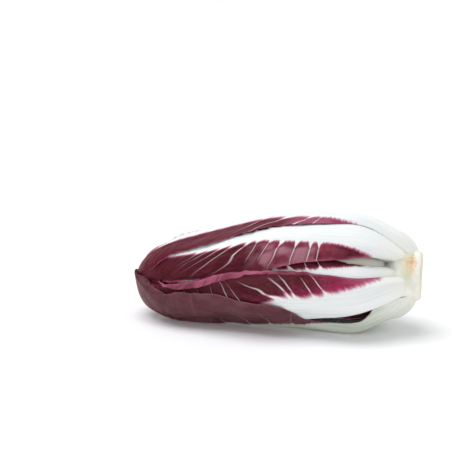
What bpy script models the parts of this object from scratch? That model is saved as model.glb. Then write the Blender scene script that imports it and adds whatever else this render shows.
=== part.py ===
"""One whole head of treviso radicchio, lying on its side on a flat surface.

The root end points along +X and the closed tip along -X. The head is a cut stem, a heart of small rolled
leaves, and fifteen separate leaves. Each leaf grows from the cone of the stem and lies on the leaves inside
it. Lengths are in metres and angles in degrees, and an angle round the head is 0 at the front (-Y) and 90 on
top (+Z).
"""

from dataclasses import dataclass

import bmesh
import bpy
import numpy as np

MM = 0.001

# The head's main sizes
HEAD_LENGTH = 214.5 * MM
ROOT_REACH = 53 * MM
TIP_REACH = 36 * MM
AXIS_HEIGHT = 42.4 * MM
WIDER = 1.03
FLATTER = 0.975

# Moves the head so that the origin lies under the middle of it
LENGTH_SHIFT = 1.4 * MM
SIDE_SHIFT = -1.0 * MM

# Both ends of the head droop towards the surface: how far its axis line drops, by place along it
STEM_DROOP = 0.6 * MM
DROOP_STATIONS = np.array([-110, -80, -58, -28, 0, 25, 50, 78, 94, 110]) * MM
DROOP = np.array([14.5, 12.8, 10.0, 4.8, 0.9, 0, 0.1, 0.6, 0.6, 0.6]) * MM

# Every place on the head is told by its run, the distance along a shell of this radius from the root end
SHELL_RADIUS = 40 * MM
ROOT_X = HEAD_LENGTH / 2 - ROOT_REACH
TIP_X = -HEAD_LENGTH / 2 + TIP_REACH
SPINE = ROOT_X - TIP_X
QUARTER = SHELL_RADIUS * np.pi / 2
FULL_RUN = 2 * QUARTER + SPINE

# How far the outside of the head stands from its axis line, by run
SHAPE_RUNS = np.array([0, 0.18, 0.27, 0.35, 0.48, 0.62, 0.8, 1, 1.4, 1.85, 2.3, 2.8, 3.1, 3.5, 4]) * QUARTER
SHAPE_REACH = (
    np.array([53.6, 51, 49, 47, 44.8, 43.8, 43.6, 43.6, 43.4, 41.4, 37.0, 32.4, 30.3, 30.8, 35.5]) * MM
)

# The root end was cut straight across, here
BUTT_X = HEAD_LENGTH / 2 - 1 * MM

# The stem is a cone whose point would be the root centre, and the leaves end on it
STEM_CONE = 18.4
LEAF_FOOT_CONE = 19.4
STEM_INNER_X = 21 * MM
STEM_EDGE = 2.5 * MM

# The heart starts just past the stem's inner end. It is drawn out from a sphere, whose ends stay round
HEART_REACH = 22 * MM
HEART_LENGTH = 0.93 * SPINE
HEART_GAP = 0.4 * MM
HEART_ROLLS = 3
HEART_END_LEAN = 0.55

# A leaf's blade is this thick, and it stays this far clear of the leaves inside it
BLADE = 0.9 * MM
CLEARANCE = 0.7 * MM
FOOT_LENGTH = 0.09
SWING_LENGTH = 0.5

# Colours, as linear red, green and blue
CRIMSON = (0.270, 0.025, 0.069)
WINE = (0.171, 0.020, 0.031)
DUSTY_PLUM = (0.122, 0.044, 0.050)
DARK_RED = (0.069, 0.010, 0.015)
PALE_PINK = (0.440, 0.188, 0.258)
CREAM_WHITE = (0.80, 0.80, 0.72)


@dataclass
class Leaf:
    """rib: the angle of the midrib round the head, and twist: how far it has turned at the tip.
    swing: how far the rib turns aside at its foot.
    depth: how far the leaf lies under the outside of the head, in millimetres.
    foot: how far its foot stands from the root centre, in millimetres.
    reach: where the tip ends, as a share of the full run.
    upper and lower: how far the blade wraps round the head on each side of the rib, at WIDTH_STATIONS.
    stout: its rib's thickness, as a share of the thickest.
    fold: how much of its upper edge is turned back, in millimetres.
    phase: sets its waves apart from those of the other leaves."""

    name: str
    rib: float
    depth: float
    foot: float
    reach: float
    upper: tuple
    lower: tuple
    colour: tuple = WINE
    twist: float = 0.0
    swing: float = 0.0
    stout: float = 1.0
    fold: float = 0.0
    rows: int = 21
    side_cells: int = 6
    phase: float = 0.0


# Shares of a leaf's length from its foot: where its width is given
WIDTH_STATIONS = (0.0, 0.15, 0.35, 0.55, 0.78, 0.92, 1.0)
RIB_STATIONS = (0.0, 0.13, 0.25, 0.42, 0.65, 0.85, 1.0)
RIB_THICKNESS = np.array([2.4, 4.2, 5.0, 4.4, 2.8, 1.3, 0.3]) * MM
RIB_HALF_WIDTH = np.array([9.5, 11.5, 11.5, 10.0, 7.5, 4.5, 2.0]) * MM

# What gives a leaf its form across: a crown over its rib, sides that sink, edges that lift, and a bowed tip
RIB_CROWN = 1.6 * MM
CROWN_HALF_WIDTH = 14 * MM
SIDE_SINK = 3.0 * MM
EDGE_LIFT = 2.2 * MM
TIP_BOW = 6 * MM
EDGE_WAVE = 0.025

# What lies lower than PRESS is flat on the surface, and up to PRESS_REACH the underside sinks with it
LOWEST_LEAF = "outer_leaf_bottom"
PRESS = 1.0 * MM
PRESS_REACH = 5 * MM
PRESSED_BLADE = 0.7 * MM

# From the inside out: each leaf lies on all those before it
INNER = (46, 42, 50, 58, 60, 48, 30)
MIDDLE = (33, 31, 38, 44, 50, 40, 20)
INNER_GRID = {"stout": 0.6, "rows": 13, "side_cells": 4}
MIDDLE_GRID = {"stout": 0.8, "rows": 15, "side_cells": 5}
LEAVES = (
    Leaf("inner_leaf_front", 27, 15, 29, 0.86, INNER, INNER, DARK_RED, phase=0.4, **INNER_GRID),
    Leaf("inner_leaf_back", 146, 15, 29, 0.85, INNER, INNER, DARK_RED, phase=1.9, **INNER_GRID),
    Leaf("inner_leaf_bottom", 266, 15, 29, 0.87, INNER, INNER, DARK_RED, phase=3.1, **INNER_GRID),
    Leaf(
        "middle_leaf_front", 9, 8.5, 41, 0.92, (30, 18, 24, 44, 50, 40, 20), MIDDLE, DARK_RED,
        phase=0.9, **MIDDLE_GRID,
    ),
    Leaf("middle_leaf_top", 82, 9, 38, 0.9, MIDDLE, MIDDLE, WINE, phase=2.2, **MIDDLE_GRID),
    Leaf("middle_leaf_back_top", 150, 9, 38, 0.91, MIDDLE, MIDDLE, WINE, phase=2.9, **MIDDLE_GRID),
    Leaf("middle_leaf_back", 222, 8.5, 38, 0.92, MIDDLE, MIDDLE, WINE, phase=4.4, **MIDDLE_GRID),
    Leaf("middle_leaf_bottom", 294, 9, 38, 0.9, MIDDLE, MIDDLE, WINE, phase=5.3, **MIDDLE_GRID),
    Leaf(
        "outer_leaf_front_upper", 56, 2.0, 47, 0.97,
        (38, 31, 34, 41, 50, 42, 22), (14, 23, 34, 43, 44, 36, 19), WINE, twist=-4, swing=8, phase=1.2,
    ),
    Leaf(
        "outer_leaf_front_lower", -26, 2.0, 47, 0.95,
        (17, 24, 37, 40, 28, 23, 15), (30, 22, 17, 38, 54, 44, 22), CRIMSON, twist=3, swing=22, fold=8,
        phase=2.6,
    ),
    Leaf(
        "outer_leaf_back", 190, 2.0, 47, 0.96,
        (32, 28, 31, 37, 44, 36, 20), (32, 28, 34, 41, 48, 40, 21), CRIMSON, twist=-5, phase=0.3,
    ),
    Leaf(
        "outer_leaf_back_top", 140, 0.8, 49.5, 0.95,
        (29, 29, 34, 41, 47, 40, 21), (29, 29, 33, 42, 48, 40, 21), WINE, twist=4, phase=3.6,
    ),
    Leaf(
        "outer_leaf_back_low", 238, 1.4, 49.5, 0.98,
        (30, 30, 37, 45, 52, 44, 22), (30, 29, 33, 40, 48, 40, 21), CRIMSON, twist=3, phase=4.8,
    ),
    Leaf(
        "outer_leaf_top", 90, 0.2, 49.5, 0.99,
        (30, 28, 36, 43, 48, 42, 22), (26, 18, 24, 27, 36, 36, 20), PALE_PINK, twist=-6, phase=5.5,
    ),
    Leaf(
        "outer_leaf_bottom", -78, 0.0, 49.5, 1.0,
        (36, 37, 33, 67, 70, 55, 27), (30, 30, 38, 47, 56, 46, 24), DUSTY_PLUM, twist=3, phase=0.8,
    ),
)

# Folded edge of the front lower leaf: the blade's edge is turned back over its own outside
FOLD_STATIONS = (0.0, 0.3, 0.5, 0.72, 0.88, 1.0)
FOLD_SHARE = (0.0, 0.0, 0.7, 1.0, 0.5, 0.0)
FOLD_RADIUS = 1.7 * MM
FOLD_TURN = np.radians(184)
FOLD_CELLS = 4


def smooth_interp(x, stations, values):
    """Values given at stations, joined by a curve with no corners."""
    stations, values = np.asarray(stations, float), np.asarray(values, float)
    x = np.clip(x, stations[0], stations[-1])
    slopes = np.gradient(values, stations)
    k = np.clip(np.searchsorted(stations, x, side="right") - 1, 0, len(stations) - 2)
    width = stations[k + 1] - stations[k]
    t = (x - stations[k]) / width
    rise = values[k + 1] - values[k]
    start, end = slopes[k] * width, slopes[k + 1] * width
    return values[k] + t * (start + t * ((3 * rise - 2 * start - end) + t * (start + end - 2 * rise)))


def outward(run, rib, aside):
    """The point of the axis line that a place is measured from, and the direction from it.

    rib is the angle of the leaf's midrib and aside the angle from it, both in radians. Over the tip a leaf
    spreads to each side of its own midrib, so it can pass the end of the head without shrinking to a point.
    """
    root_lean = np.clip((QUARTER - run) / SHELL_RADIUS, 0, None)
    tip_lean = np.clip((run - QUARTER - SPINE) / SHELL_RADIUS, 0, None)
    at_root = root_lean > 0
    angle = rib + aside
    start = np.zeros(run.shape + (3,))
    start[..., 0] = ROOT_X - np.clip(run - QUARTER, 0, SPINE)
    root_way = np.stack(
        [np.sin(root_lean), -np.cos(root_lean) * np.cos(angle), np.cos(root_lean) * np.sin(angle)], -1
    )
    tip_way = np.stack(
        [
            -np.cos(aside) * np.sin(tip_lean),
            -np.cos(aside) * np.cos(tip_lean) * np.cos(rib) + np.sin(aside) * np.sin(rib),
            np.cos(aside) * np.cos(tip_lean) * np.sin(rib) + np.sin(aside) * np.cos(rib),
        ],
        -1,
    )
    return start, np.where(at_root[..., None], root_way, tip_way)


def place_of(points):
    """The run, the angle round the head and the distance from the axis line of each point."""
    start_x = np.clip(points[..., 0], TIP_X, ROOT_X)
    away = points - np.stack([start_x, np.zeros_like(start_x), np.zeros_like(start_x)], -1)
    reach = np.linalg.norm(away, axis=-1)
    lean = np.arcsin(np.clip(away[..., 0] / reach, -1, 1))
    return QUARTER + ROOT_X - start_x - SHELL_RADIUS * lean, np.arctan2(away[..., 2], -away[..., 1]), reach


class Pile:
    """How far out the leaves that are already in place reach, on a grid of places round the head."""

    ROWS = 168
    COLUMNS = 180

    def __init__(self):
        self.reach = np.zeros((self.ROWS, self.COLUMNS))
        lean = np.abs(np.clip(np.linspace(-QUARTER, QUARTER + SPINE, self.ROWS), None, 0)) / SHELL_RADIUS
        lean += np.clip(np.linspace(-QUARTER - SPINE, QUARTER, self.ROWS), 0, None) / SHELL_RADIUS
        self.sweep = np.clip(np.round(1 / np.maximum(np.cos(lean), 0.02)), 1, self.COLUMNS // 4).astype(int)

    def cell(self, run, angle):
        row = np.clip(np.round(run / FULL_RUN * (self.ROWS - 1)).astype(int), 0, self.ROWS - 1)
        return row, np.round(angle / (2 * np.pi) * self.COLUMNS).astype(int) % self.COLUMNS

    def add(self, points):
        run, angle, reach = place_of(points)
        np.maximum.at(self.reach, self.cell(run, angle), reach)

    def widened(self, steps=1):
        """Each cell takes the most of its neighbours, and of more of them where cells are narrow."""
        grid = self.reach
        for _ in range(steps):
            grid = np.maximum(grid, np.maximum(np.roll(grid, 1, 1), np.roll(grid, -1, 1)))
            for row in np.nonzero(self.sweep > 1)[0]:
                for _ in range(self.sweep[row] - 1):
                    line = grid[row]
                    grid[row] = np.maximum(line, np.maximum(np.roll(line, 1), np.roll(line, -1)))
            padded = np.pad(grid, ((1, 1), (0, 0)), mode="edge")
            grid = np.maximum(grid, np.maximum(padded[:-2], padded[2:]))
        return grid

    def softened(self, steps):
        """A smooth cover over the pile, which lies on or outside it."""
        grid = self.widened(steps)
        for _ in range(steps):
            grid = (np.roll(grid, 1, 1) + 2 * grid + np.roll(grid, -1, 1)) / 4
            padded = np.pad(grid, ((1, 1), (0, 0)), mode="edge")
            grid = (padded[:-2] + 2 * grid + padded[2:]) / 4
        return grid


def leaf_grid(leaf):
    """The share along the leaf, the side from -1 to 1 and the share of the fold, at each cell's corner."""
    across = np.linspace(-1, 1, 2 * leaf.side_cells + 1)
    across = np.sign(across) * np.abs(across) ** 1.2
    turned = np.zeros_like(across)
    if leaf.fold:
        across = np.append(across, np.ones(FOLD_CELLS))
        turned = np.append(turned, np.arange(1, FOLD_CELLS + 1) / FOLD_CELLS)
    along = np.linspace(0, 1, leaf.rows + 1) ** 1.2
    return np.meshgrid(along, across, indexing="ij") + [np.broadcast_to(turned, (leaf.rows + 1, len(turned)))]


def leaf_lines(leaf, along, side):
    """Where the corners lie before the leaf is laid: run, midrib angle, angle aside and distance aside."""
    foot = QUARTER - SHELL_RADIUS * np.radians(90 - LEAF_FOOT_CONE)
    full = foot + (leaf.reach * FULL_RUN - foot) * along
    run = full - TIP_BOW * along**2 * side**2
    wrap = np.where(
        side > 0,
        smooth_interp(along, WIDTH_STATIONS, leaf.upper),
        smooth_interp(along, WIDTH_STATIONS, leaf.lower),
    )
    wave = 1 + EDGE_WAVE * np.sin(along * 17 + leaf.phase + side) * np.clip(3 * along - 0.6, 0, 1)
    aside = np.radians(wrap) * side * wave
    near_foot = np.clip(1 - along / SWING_LENGTH, 0, 1) ** 2
    rib = np.radians(leaf.rib + leaf.twist * along**2 + leaf.swing * near_foot)
    root_lean = np.clip((QUARTER - run) / SHELL_RADIUS, 0, None)
    radius = smooth_interp(run, SHAPE_RUNS, SHAPE_REACH) * np.cos(root_lean)
    return run, rib, aside, np.abs(aside) * radius


def leaf_thickness(leaf, along, off_rib):
    thick = leaf.stout * smooth_interp(along, RIB_STATIONS, RIB_THICKNESS)
    half = 1.25 * smooth_interp(along, RIB_STATIONS, RIB_HALF_WIDTH) * (0.7 + 0.3 * leaf.stout)
    return BLADE + thick * np.clip(1 - (off_rib / half) ** 2, 0, None) ** 1.2


def leaf_outside(leaf, along, side, run, off_rib):
    """How far from the axis line the outside of the leaf would lie if nothing were under it."""
    crown = RIB_CROWN * np.clip(1 - (off_rib / CROWN_HALF_WIDTH) ** 2, 0, None) * np.clip(6 * along, 0, 1)
    sink = SIDE_SINK * side**2 * np.clip(4 * along, 0, 1)
    lift = EDGE_LIFT * np.clip((np.abs(side) - 0.75) / 0.25, 0, 1) ** 2
    lift *= (0.55 + 0.45 * np.sin(along * 21 + 2.1 * leaf.phase)) * np.clip(4 * along - 0.8, 0, 1)
    reach = smooth_interp(run, SHAPE_RUNS, SHAPE_REACH) - leaf.depth * MM + crown - sink + lift
    at_foot = np.clip(1 - along / FOOT_LENGTH, 0, 1) ** 2
    return reach + (leaf.foot * MM - reach) * at_foot


def surface(run, rib, aside, reach):
    start, way = outward(run, rib, aside)
    return start + reach[..., None] * way


def facets(grid, cuts=5):
    """Points spread over the two triangles of each cell of a grid of corners."""
    a, b, c, d = grid[:-1, :-1], grid[1:, :-1], grid[1:, 1:], grid[:-1, 1:]
    for i in range(cuts + 1):
        for j in range(cuts + 1):
            p, q = i / cuts, j / cuts
            yield a + p * (b - a) + q * (c - b) if p > q else a + q * (d - a) + p * (c - d)


def lay(leaf, pile):
    """Lays a leaf on the pile: the inside and the outside of the leaf, at each corner of its cells."""
    along, side, turned = leaf_grid(leaf)
    run, rib, aside, off_rib = leaf_lines(leaf, along, side)
    thick = leaf_thickness(leaf, along, off_rib)
    wanted = leaf_outside(leaf, along, side, run, off_rib) - thick
    cover = pile.softened(3)
    place = place_of(surface(run, rib, aside, wanted))
    reach = np.maximum(wanted, cover[pile.cell(*place[:2])] + CLEARANCE)
    close = pile.widened(1)
    for _ in range(6):
        short = np.zeros_like(reach)
        for points in facets(surface(run, rib, aside, reach)):
            there = place_of(points)
            lack = close[pile.cell(*there[:2])] + CLEARANCE - there[2]
            for rows in (slice(None, -1), slice(1, None)):
                for columns in (slice(None, -1), slice(1, None)):
                    short[rows, columns] = np.maximum(short[rows, columns], lack)
        if short.max() < 0.02 * MM:
            break
        reach += np.clip(short, 0, None)
    inside, outside = surface(run, rib, aside, reach), surface(run, rib, aside, reach + thick)
    if leaf.fold:
        inside, outside = turn_edge(leaf, along, turned, run, rib, aside, reach)
        for points in facets(inside):
            pile.add(points)
    for points in facets(outside):
        pile.add(points)
    return inside, outside


def turn_edge(leaf, along, turned, run, rib, aside, reach):
    """The leaf with the strip past its upper edge turned back over its outside."""
    thick = leaf_thickness(leaf, along, np.abs(aside) * reach)
    share = np.clip(smooth_interp(along, FOLD_STATIONS, FOLD_SHARE), 0, 1)
    past = turned * (leaf.fold * MM * share + 0.5 * MM)
    bend = np.minimum(past / FOLD_RADIUS, FOLD_TURN * share)
    straight = past - bend * FOLD_RADIUS
    faces = []
    for raise_by in (0, thick):
        radius = FOLD_RADIUS - raise_by
        sideways = radius * np.sin(bend) + straight * np.cos(bend)
        up = FOLD_RADIUS - radius * np.cos(bend) + straight * np.sin(bend)
        faces.append(surface(run, rib, aside + sideways / reach, reach + up))
    return faces


def set_down(points):
    """From the head's own straight axis line to how it lies: wider than high, with its thin tip sunk."""
    x, y, z = np.moveaxis(points, -1, 0)
    axis_height = AXIS_HEIGHT - smooth_interp(x, DROOP_STATIONS, DROOP)
    along = np.minimum(x, BUTT_X) + LENGTH_SHIFT
    return np.stack([along, y * WIDER + SIDE_SHIFT, z * FLATTER + axis_height], -1)


def press_flat(inside, outside):
    """The head's weight presses the underside of its lowest leaf flat, and the blade keeps its thickness."""
    height = outside[..., 2]
    pressed = np.interp(height, [PRESS, PRESS_REACH], [0, PRESS_REACH])
    outside[..., 2] = np.where(height < PRESS_REACH, pressed, height)
    inside[..., 2] = np.maximum(inside[..., 2], PRESSED_BLADE)


def material(name, colour, roughness):
    made = bpy.data.materials.new(name)
    made.use_nodes = True
    shader = made.node_tree.nodes["Principled BSDF"]
    shader.inputs["Base Color"].default_value = (*colour, 1)
    shader.inputs["Roughness"].default_value = roughness
    shader.inputs["Metallic"].default_value = 0
    return made


def add_object(name, mesh, collection, finish):
    made = bpy.data.objects.new(name, mesh)
    collection.objects.link(made)
    mesh.materials.append(finish)
    mesh.shade_smooth()
    return made


def finished(name, bm):
    if bm.calc_volume(signed=True) < 0:
        bmesh.ops.reverse_faces(bm, faces=bm.faces[:])
    mesh = bpy.data.meshes.new(name)
    bm.to_mesh(mesh)
    bm.free()
    return mesh


def slab_mesh(name, inside, outside):
    """A slab of cells, split into triangles alike on both faces, bent so that its faces lie on two grids."""
    rows, columns = inside.shape[0] - 1, inside.shape[1] - 1
    bm = bmesh.new()
    bmesh.ops.create_grid(bm, x_segments=rows, y_segments=columns, size=0.5)
    bmesh.ops.triangulate(bm, faces=bm.faces[:], quad_method="FIXED")
    low = bm.verts[:]
    raised = bmesh.ops.extrude_face_region(bm, geom=bm.faces[:])["geom"]
    high = [part for part in raised if isinstance(part, bmesh.types.BMVert)]
    for verts, grid in ((low, inside), (high, outside)):
        for vert in verts:
            row, column = round((vert.co.x + 0.5) * rows), round((vert.co.y + 0.5) * columns)
            vert.co = grid[row, column]
    return finished(name, bm)


def heart_reach(lean, angle, share):
    """How far out the heart stands: the edges of the leaves rolled round it are steps that wind along it."""
    step = (HEART_ROLLS * angle / (2 * np.pi) + 1.1 * share) % 1
    root_narrowing = 1 - 0.22 * np.clip(np.sin(lean), 0, 1)
    return HEART_REACH * (0.93 + 0.07 * step) * (1 - 0.12 * share) * root_narrowing


def heart_mesh(pile):
    """The heart: a bud of small leaves rolled round each other, drawn out from a sphere."""
    bm = bmesh.new()
    bmesh.ops.create_uvsphere(bm, u_segments=30, v_segments=20, radius=1)
    ways = np.array([vert.co for vert in bm.verts])
    lean = np.arcsin(np.clip(ways[:, 2], -1, 1))
    angle = np.arctan2(ways[:, 1], ways[:, 0])
    share = np.clip(0.5 - lean / (2 * HEART_END_LEAN), 0, 1)
    past_end = np.clip((np.abs(lean) - HEART_END_LEAN) / (np.pi / 2 - HEART_END_LEAN), 0, None)
    lean = np.sign(lean) * past_end * np.pi / 2
    points = heart_reach(lean, angle, share)[:, None] * np.stack(
        [np.sin(lean), -np.cos(lean) * np.cos(angle), np.cos(lean) * np.sin(angle)], -1
    )
    points[:, 0] += ROOT_X - HEART_LENGTH * share
    points[:, 0] = np.minimum(points[:, 0], ROOT_X + STEM_INNER_X - HEART_GAP)
    for vert, point in zip(bm.verts, points):
        vert.co = point
    bmesh.ops.triangulate(bm, faces=bm.faces[:])
    shares = [(i / 8, j / 8) for i in range(9) for j in range(9 - i)]
    for face in bm.faces:
        a, b, c = (np.array(vert.co) for vert in face.verts)
        pile.add(np.array([a + p * (b - a) + q * (c - a) for p, q in shares]))
    for vert in bm.verts:
        vert.co = set_down(np.array(vert.co))
    return finished("heart", bm)


def stem_object(collection, finish):
    """The stem: a short cone, cut across at the root end, turned from a profile."""
    slope = np.tan(np.radians(STEM_CONE))
    rim = ROOT_REACH - STEM_EDGE
    corner = np.radians([90, 68, 46, 24, 2])
    profile = [(ROOT_REACH + 0.3 * MM, 0)]
    profile += [(rim + STEM_EDGE * np.sin(a), rim * slope - STEM_EDGE * (1 - np.cos(a))) for a in corner]
    profile += [(STEM_INNER_X, STEM_INNER_X * slope), (STEM_INNER_X, 0)]
    mesh = bpy.data.meshes.new("stem")
    corners = [(ROOT_X + x, 0, radius) for x, radius in profile]
    mesh.from_pydata(corners, [(i, i + 1) for i in range(len(corners) - 1)], [])
    made = add_object("stem", mesh, collection, finish)
    made.location = (LENGTH_SHIFT, SIDE_SHIFT, AXIS_HEIGHT - STEM_DROOP)
    screw = made.modifiers.new("turn", "SCREW")
    screw.axis = "X"
    screw.steps = screw.render_steps = 32
    screw.use_merge_vertices = True
    screw.merge_threshold = 0.00002
    screw.use_normal_calculate = True
    return made


def main():
    for old in list(bpy.data.objects):
        bpy.data.objects.remove(old)
    head = bpy.data.collections.new("treviso_radicchio")
    bpy.context.scene.collection.children.link(head)
    pile = Pile()
    stem_object(head, material("stem_white", CREAM_WHITE, 0.45))
    add_object("heart", heart_mesh(pile), head, material("heart_red", DARK_RED, 0.42))
    for leaf in LEAVES:
        inside, outside = (set_down(face) for face in lay(leaf, pile))
        if leaf.name == LOWEST_LEAF:
            press_flat(inside, outside)
        finish = material(leaf.name + "_blade", leaf.colour, 0.42)
        add_object(leaf.name, slab_mesh(leaf.name, inside, outside), head, finish)


main()
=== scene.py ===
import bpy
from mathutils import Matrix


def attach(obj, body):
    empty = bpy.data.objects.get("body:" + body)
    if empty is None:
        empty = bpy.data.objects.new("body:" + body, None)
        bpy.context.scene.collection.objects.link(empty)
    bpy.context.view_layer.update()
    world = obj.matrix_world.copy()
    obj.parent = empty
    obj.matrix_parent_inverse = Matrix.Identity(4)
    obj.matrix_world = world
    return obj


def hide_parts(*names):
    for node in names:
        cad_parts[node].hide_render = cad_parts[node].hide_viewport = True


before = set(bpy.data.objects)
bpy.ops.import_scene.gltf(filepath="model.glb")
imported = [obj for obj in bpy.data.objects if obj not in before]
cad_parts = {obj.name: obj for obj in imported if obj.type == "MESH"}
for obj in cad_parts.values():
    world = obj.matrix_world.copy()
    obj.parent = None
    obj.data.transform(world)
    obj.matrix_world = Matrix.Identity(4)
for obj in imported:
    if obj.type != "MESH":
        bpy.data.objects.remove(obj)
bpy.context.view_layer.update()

import math

import bmesh
import bpy
import numpy as np
from mathutils import Vector

mm = 0.001
tiny = 1e-12
sharpAngle = math.radians(60)
scene = bpy.context.scene
scene.view_settings.view_transform = "Standard"
scene.view_settings.look = "None"


# the camera stands where the photo was taken from
cameraSet = {
    "azimuth": 12, "elevation": 13, "lens": 85, "aim": (-0.03725, -0.001, 0.0722), "distance": 0.80,
}


def placeCamera():
    around, above = math.radians(cameraSet["azimuth"]), math.radians(cameraSet["elevation"])
    flat = math.cos(above)
    away = Vector((math.sin(around) * flat, -math.cos(around) * flat, math.sin(above)))
    camera = bpy.data.objects.new("camera", bpy.data.cameras.new("camera"))
    scene.collection.objects.link(camera)
    camera.data.lens = cameraSet["lens"]
    camera.location = Vector(cameraSet["aim"]) + away * cameraSet["distance"]
    camera.rotation_euler = away.to_track_quat("Z", "Y").to_euler()
    scene.camera = camera


placeCamera()
print("camera placed")


# the shader helpers: arithmetic on sockets, and one method that makes any node

def linear(red, green, blue):
    # a colour as a picture program gives it, 0 to 255, in the numbers that shaders use
    parts = [value / 255 for value in (red, green, blue)]
    return tuple(p / 12.92 if p <= 0.04045 else ((p + 0.055) / 1.055) ** 2.4 for p in parts) + (1.0,)


class Wire:
    # a socket that holds a number, with the signs of arithmetic
    def __init__(self, paint, socket):
        self.paint = paint
        self.socket = socket

    def reckon(self, operation, *values, clamp=False):
        settings = {"operation": operation, "use_clamp": clamp}
        return self.paint.node("Math", settings, dict(enumerate(values)))

    def __add__(self, other):
        return self.reckon("ADD", self, other)

    def __radd__(self, other):
        return self.reckon("ADD", other, self)

    def __sub__(self, other):
        return self.reckon("SUBTRACT", self, other)

    def __rsub__(self, other):
        return self.reckon("SUBTRACT", other, self)

    def __mul__(self, other):
        return self.reckon("MULTIPLY", self, other)

    def __rmul__(self, other):
        return self.reckon("MULTIPLY", other, self)

    def __truediv__(self, other):
        return self.reckon("DIVIDE", self, other)

    def __rtruediv__(self, other):
        return self.reckon("DIVIDE", other, self)

    def __pow__(self, other):
        return self.reckon("POWER", self, other)

    def __rpow__(self, other):
        return self.reckon("POWER", other, self)

    def absolute(self):
        return self.reckon("ABSOLUTE", self)

    def rounded(self):
        return self.reckon("ROUND", self)

    def atLeast(self, other):
        return self.reckon("MAXIMUM", self, other)

    def clamped(self):
        return self.reckon("ADD", self, 0, clamp=True)

    def fade(self, start, end):
        # 0 at start, 1 at end, with no corners between them
        settings = {"interpolation_type": "SMOOTHSTEP"}
        if isinstance(start, Wire) or isinstance(end, Wire) or start <= end:
            return self.paint.node("MapRange", settings, {0: self, 1: start, 2: end, 3: 0, 4: 1})
        return self.paint.node("MapRange", settings, {0: self, 1: end, 2: start, 3: 1, 4: 0})


class Paint:
    # the nodes of one material, or of the sky
    def __init__(self, owner):
        self.owner = owner
        owner.use_nodes = True
        self.tree = owner.node_tree
        self.tree.nodes.clear()

    def node(self, kind, settings=None, sockets=None, output=0):
        made = self.tree.nodes.new("ShaderNode" + kind)
        for name, value in (settings or {}).items():
            setattr(made, name, value)
        for name, value in (sockets or {}).items():
            if isinstance(value, Wire):
                self.tree.links.new(value.socket, made.inputs[name])
            else:
                made.inputs[name].default_value = value
        return Wire(self, made.outputs[output]) if made.outputs else None

    def mix(self, factor, first, second, blend="MIX"):
        settings = {"data_type": "RGBA", "blend_type": blend, "clamp_factor": True}
        return self.node("Mix", settings, {0: factor, 6: first, 7: second}, 2)

    def attribute(self, name, output="Fac"):
        return self.node("Attribute", {"attribute_name": name}, output=output)

    def split(self, vector):
        first = self.node("SeparateXYZ", {}, {0: vector})
        return [Wire(self, part) for part in first.socket.node.outputs]

    def joined(self, x, y, z=0.0):
        return self.node("CombineXYZ", {}, {0: x, 1: y, 2: z})

    def noise(self, vector, scale, detail=2.0, roughness=0.5):
        sockets = {"Vector": vector, "Scale": scale, "Detail": detail, "Roughness": roughness}
        return self.node("TexNoise", {}, sockets)

    def finish(self, settings, bumps=None, bumpDepth=0.0):
        # the surface itself. Numbers that are alike all over are set on its own sockets
        shader = self.node("BsdfPrincipled", {}, settings)
        if bumps is not None:
            bump = self.node("Bump", {}, {"Height": bumps, "Strength": 1.0, "Distance": bumpDepth})
            self.tree.links.new(bump.socket, shader.socket.node.inputs["Normal"])
        self.node("OutputMaterial", {}, {0: shader})
        return self.owner


# the head's form, with the same places and sizes as the solids have
headShape = {
    "length": 214.5 * mm,
    "rootReach": 53 * mm,
    "tipReach": 36 * mm,
    "axisHeight": 42.4 * mm,
    "wider": 1.03,
    "flatter": 0.975,
    "lengthShift": 1.4 * mm,
    "sideShift": -1.0 * mm,
    "stemDroop": 0.6 * mm,
    "droopAt": (-110, -80, -58, -28, 0, 25, 50, 78, 94, 110),
    "droop": (14.5, 12.8, 10.0, 4.8, 0.9, 0, 0.1, 0.6, 0.6, 0.6),
    "shellRadius": 40 * mm,
    "shapeAt": (0, 0.18, 0.27, 0.35, 0.48, 0.62, 0.8, 1, 1.4, 1.85, 2.3, 2.8, 3.1, 3.5, 4),
    "shapeReach": (53.6, 51, 49, 47, 44.8, 43.8, 43.6, 43.6, 43.4, 41.4, 37.0, 32.4, 30.3, 30.8, 35.5),
    "footCone": 19.4,
    "footLength": 0.09,
    "swingLength": 0.5,
    "cageBlade": 0.9 * mm,
    "clearance": 0.7 * mm,
    "press": 1.0 * mm,
    "pressReach": 5 * mm,
    "pressedBlade": 0.7 * mm,
}
shell = headShape["shellRadius"]
rootX = headShape["length"] / 2 - headShape["rootReach"]
tipX = -headShape["length"] / 2 + headShape["tipReach"]
spine = rootX - tipX
quarter = shell * math.pi / 2
fullRun = 2 * quarter + spine
buttX = headShape["length"] / 2 - 1 * mm
shapeRuns = np.array(headShape["shapeAt"]) * quarter
shapeReach = np.array(headShape["shapeReach"]) * mm
footRun = quarter - shell * math.radians(90 - headShape["footCone"])

# what every leaf has in common, as in the solids. Places along it are shares of its length
leafForm = {
    "widthAt": (0.0, 0.15, 0.35, 0.55, 0.78, 0.92, 1.0),
    "ribAt": (0.0, 0.13, 0.25, 0.42, 0.65, 0.85, 1.0),
    "ribThick": (2.4, 4.2, 5.0, 4.4, 2.8, 1.3, 0.3),
    "ribHalf": (9.5, 11.5, 11.5, 10.0, 7.5, 4.5, 2.0),
    "ribSpread": 1.25,
    "ribCurve": 1.2,
    "stoutWidth": 0.3,
    "crown": 1.6 * mm,
    "crownHalf": 14 * mm,
    "crownRate": 6,
    "sideSink": 3.0 * mm,
    "sideRate": 4,
    "liftRamp": (4, 0.8),
    "edgeLift": 2.2 * mm,
    "liftFrom": 0.75,
    "liftTurns": 21,
    "liftPhase": 2.1,
    "liftVaries": 0.45,
    "tipBow": 6 * mm,
    "edgeWave": 0.025,
    "waveTurns": 17,
    "waveRamp": (3, 0.6),
    "bunch": 1.2,
    "layRounds": 6,
    "layWithin": 0.02 * mm,
    "laySoftening": 3,
}

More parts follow.
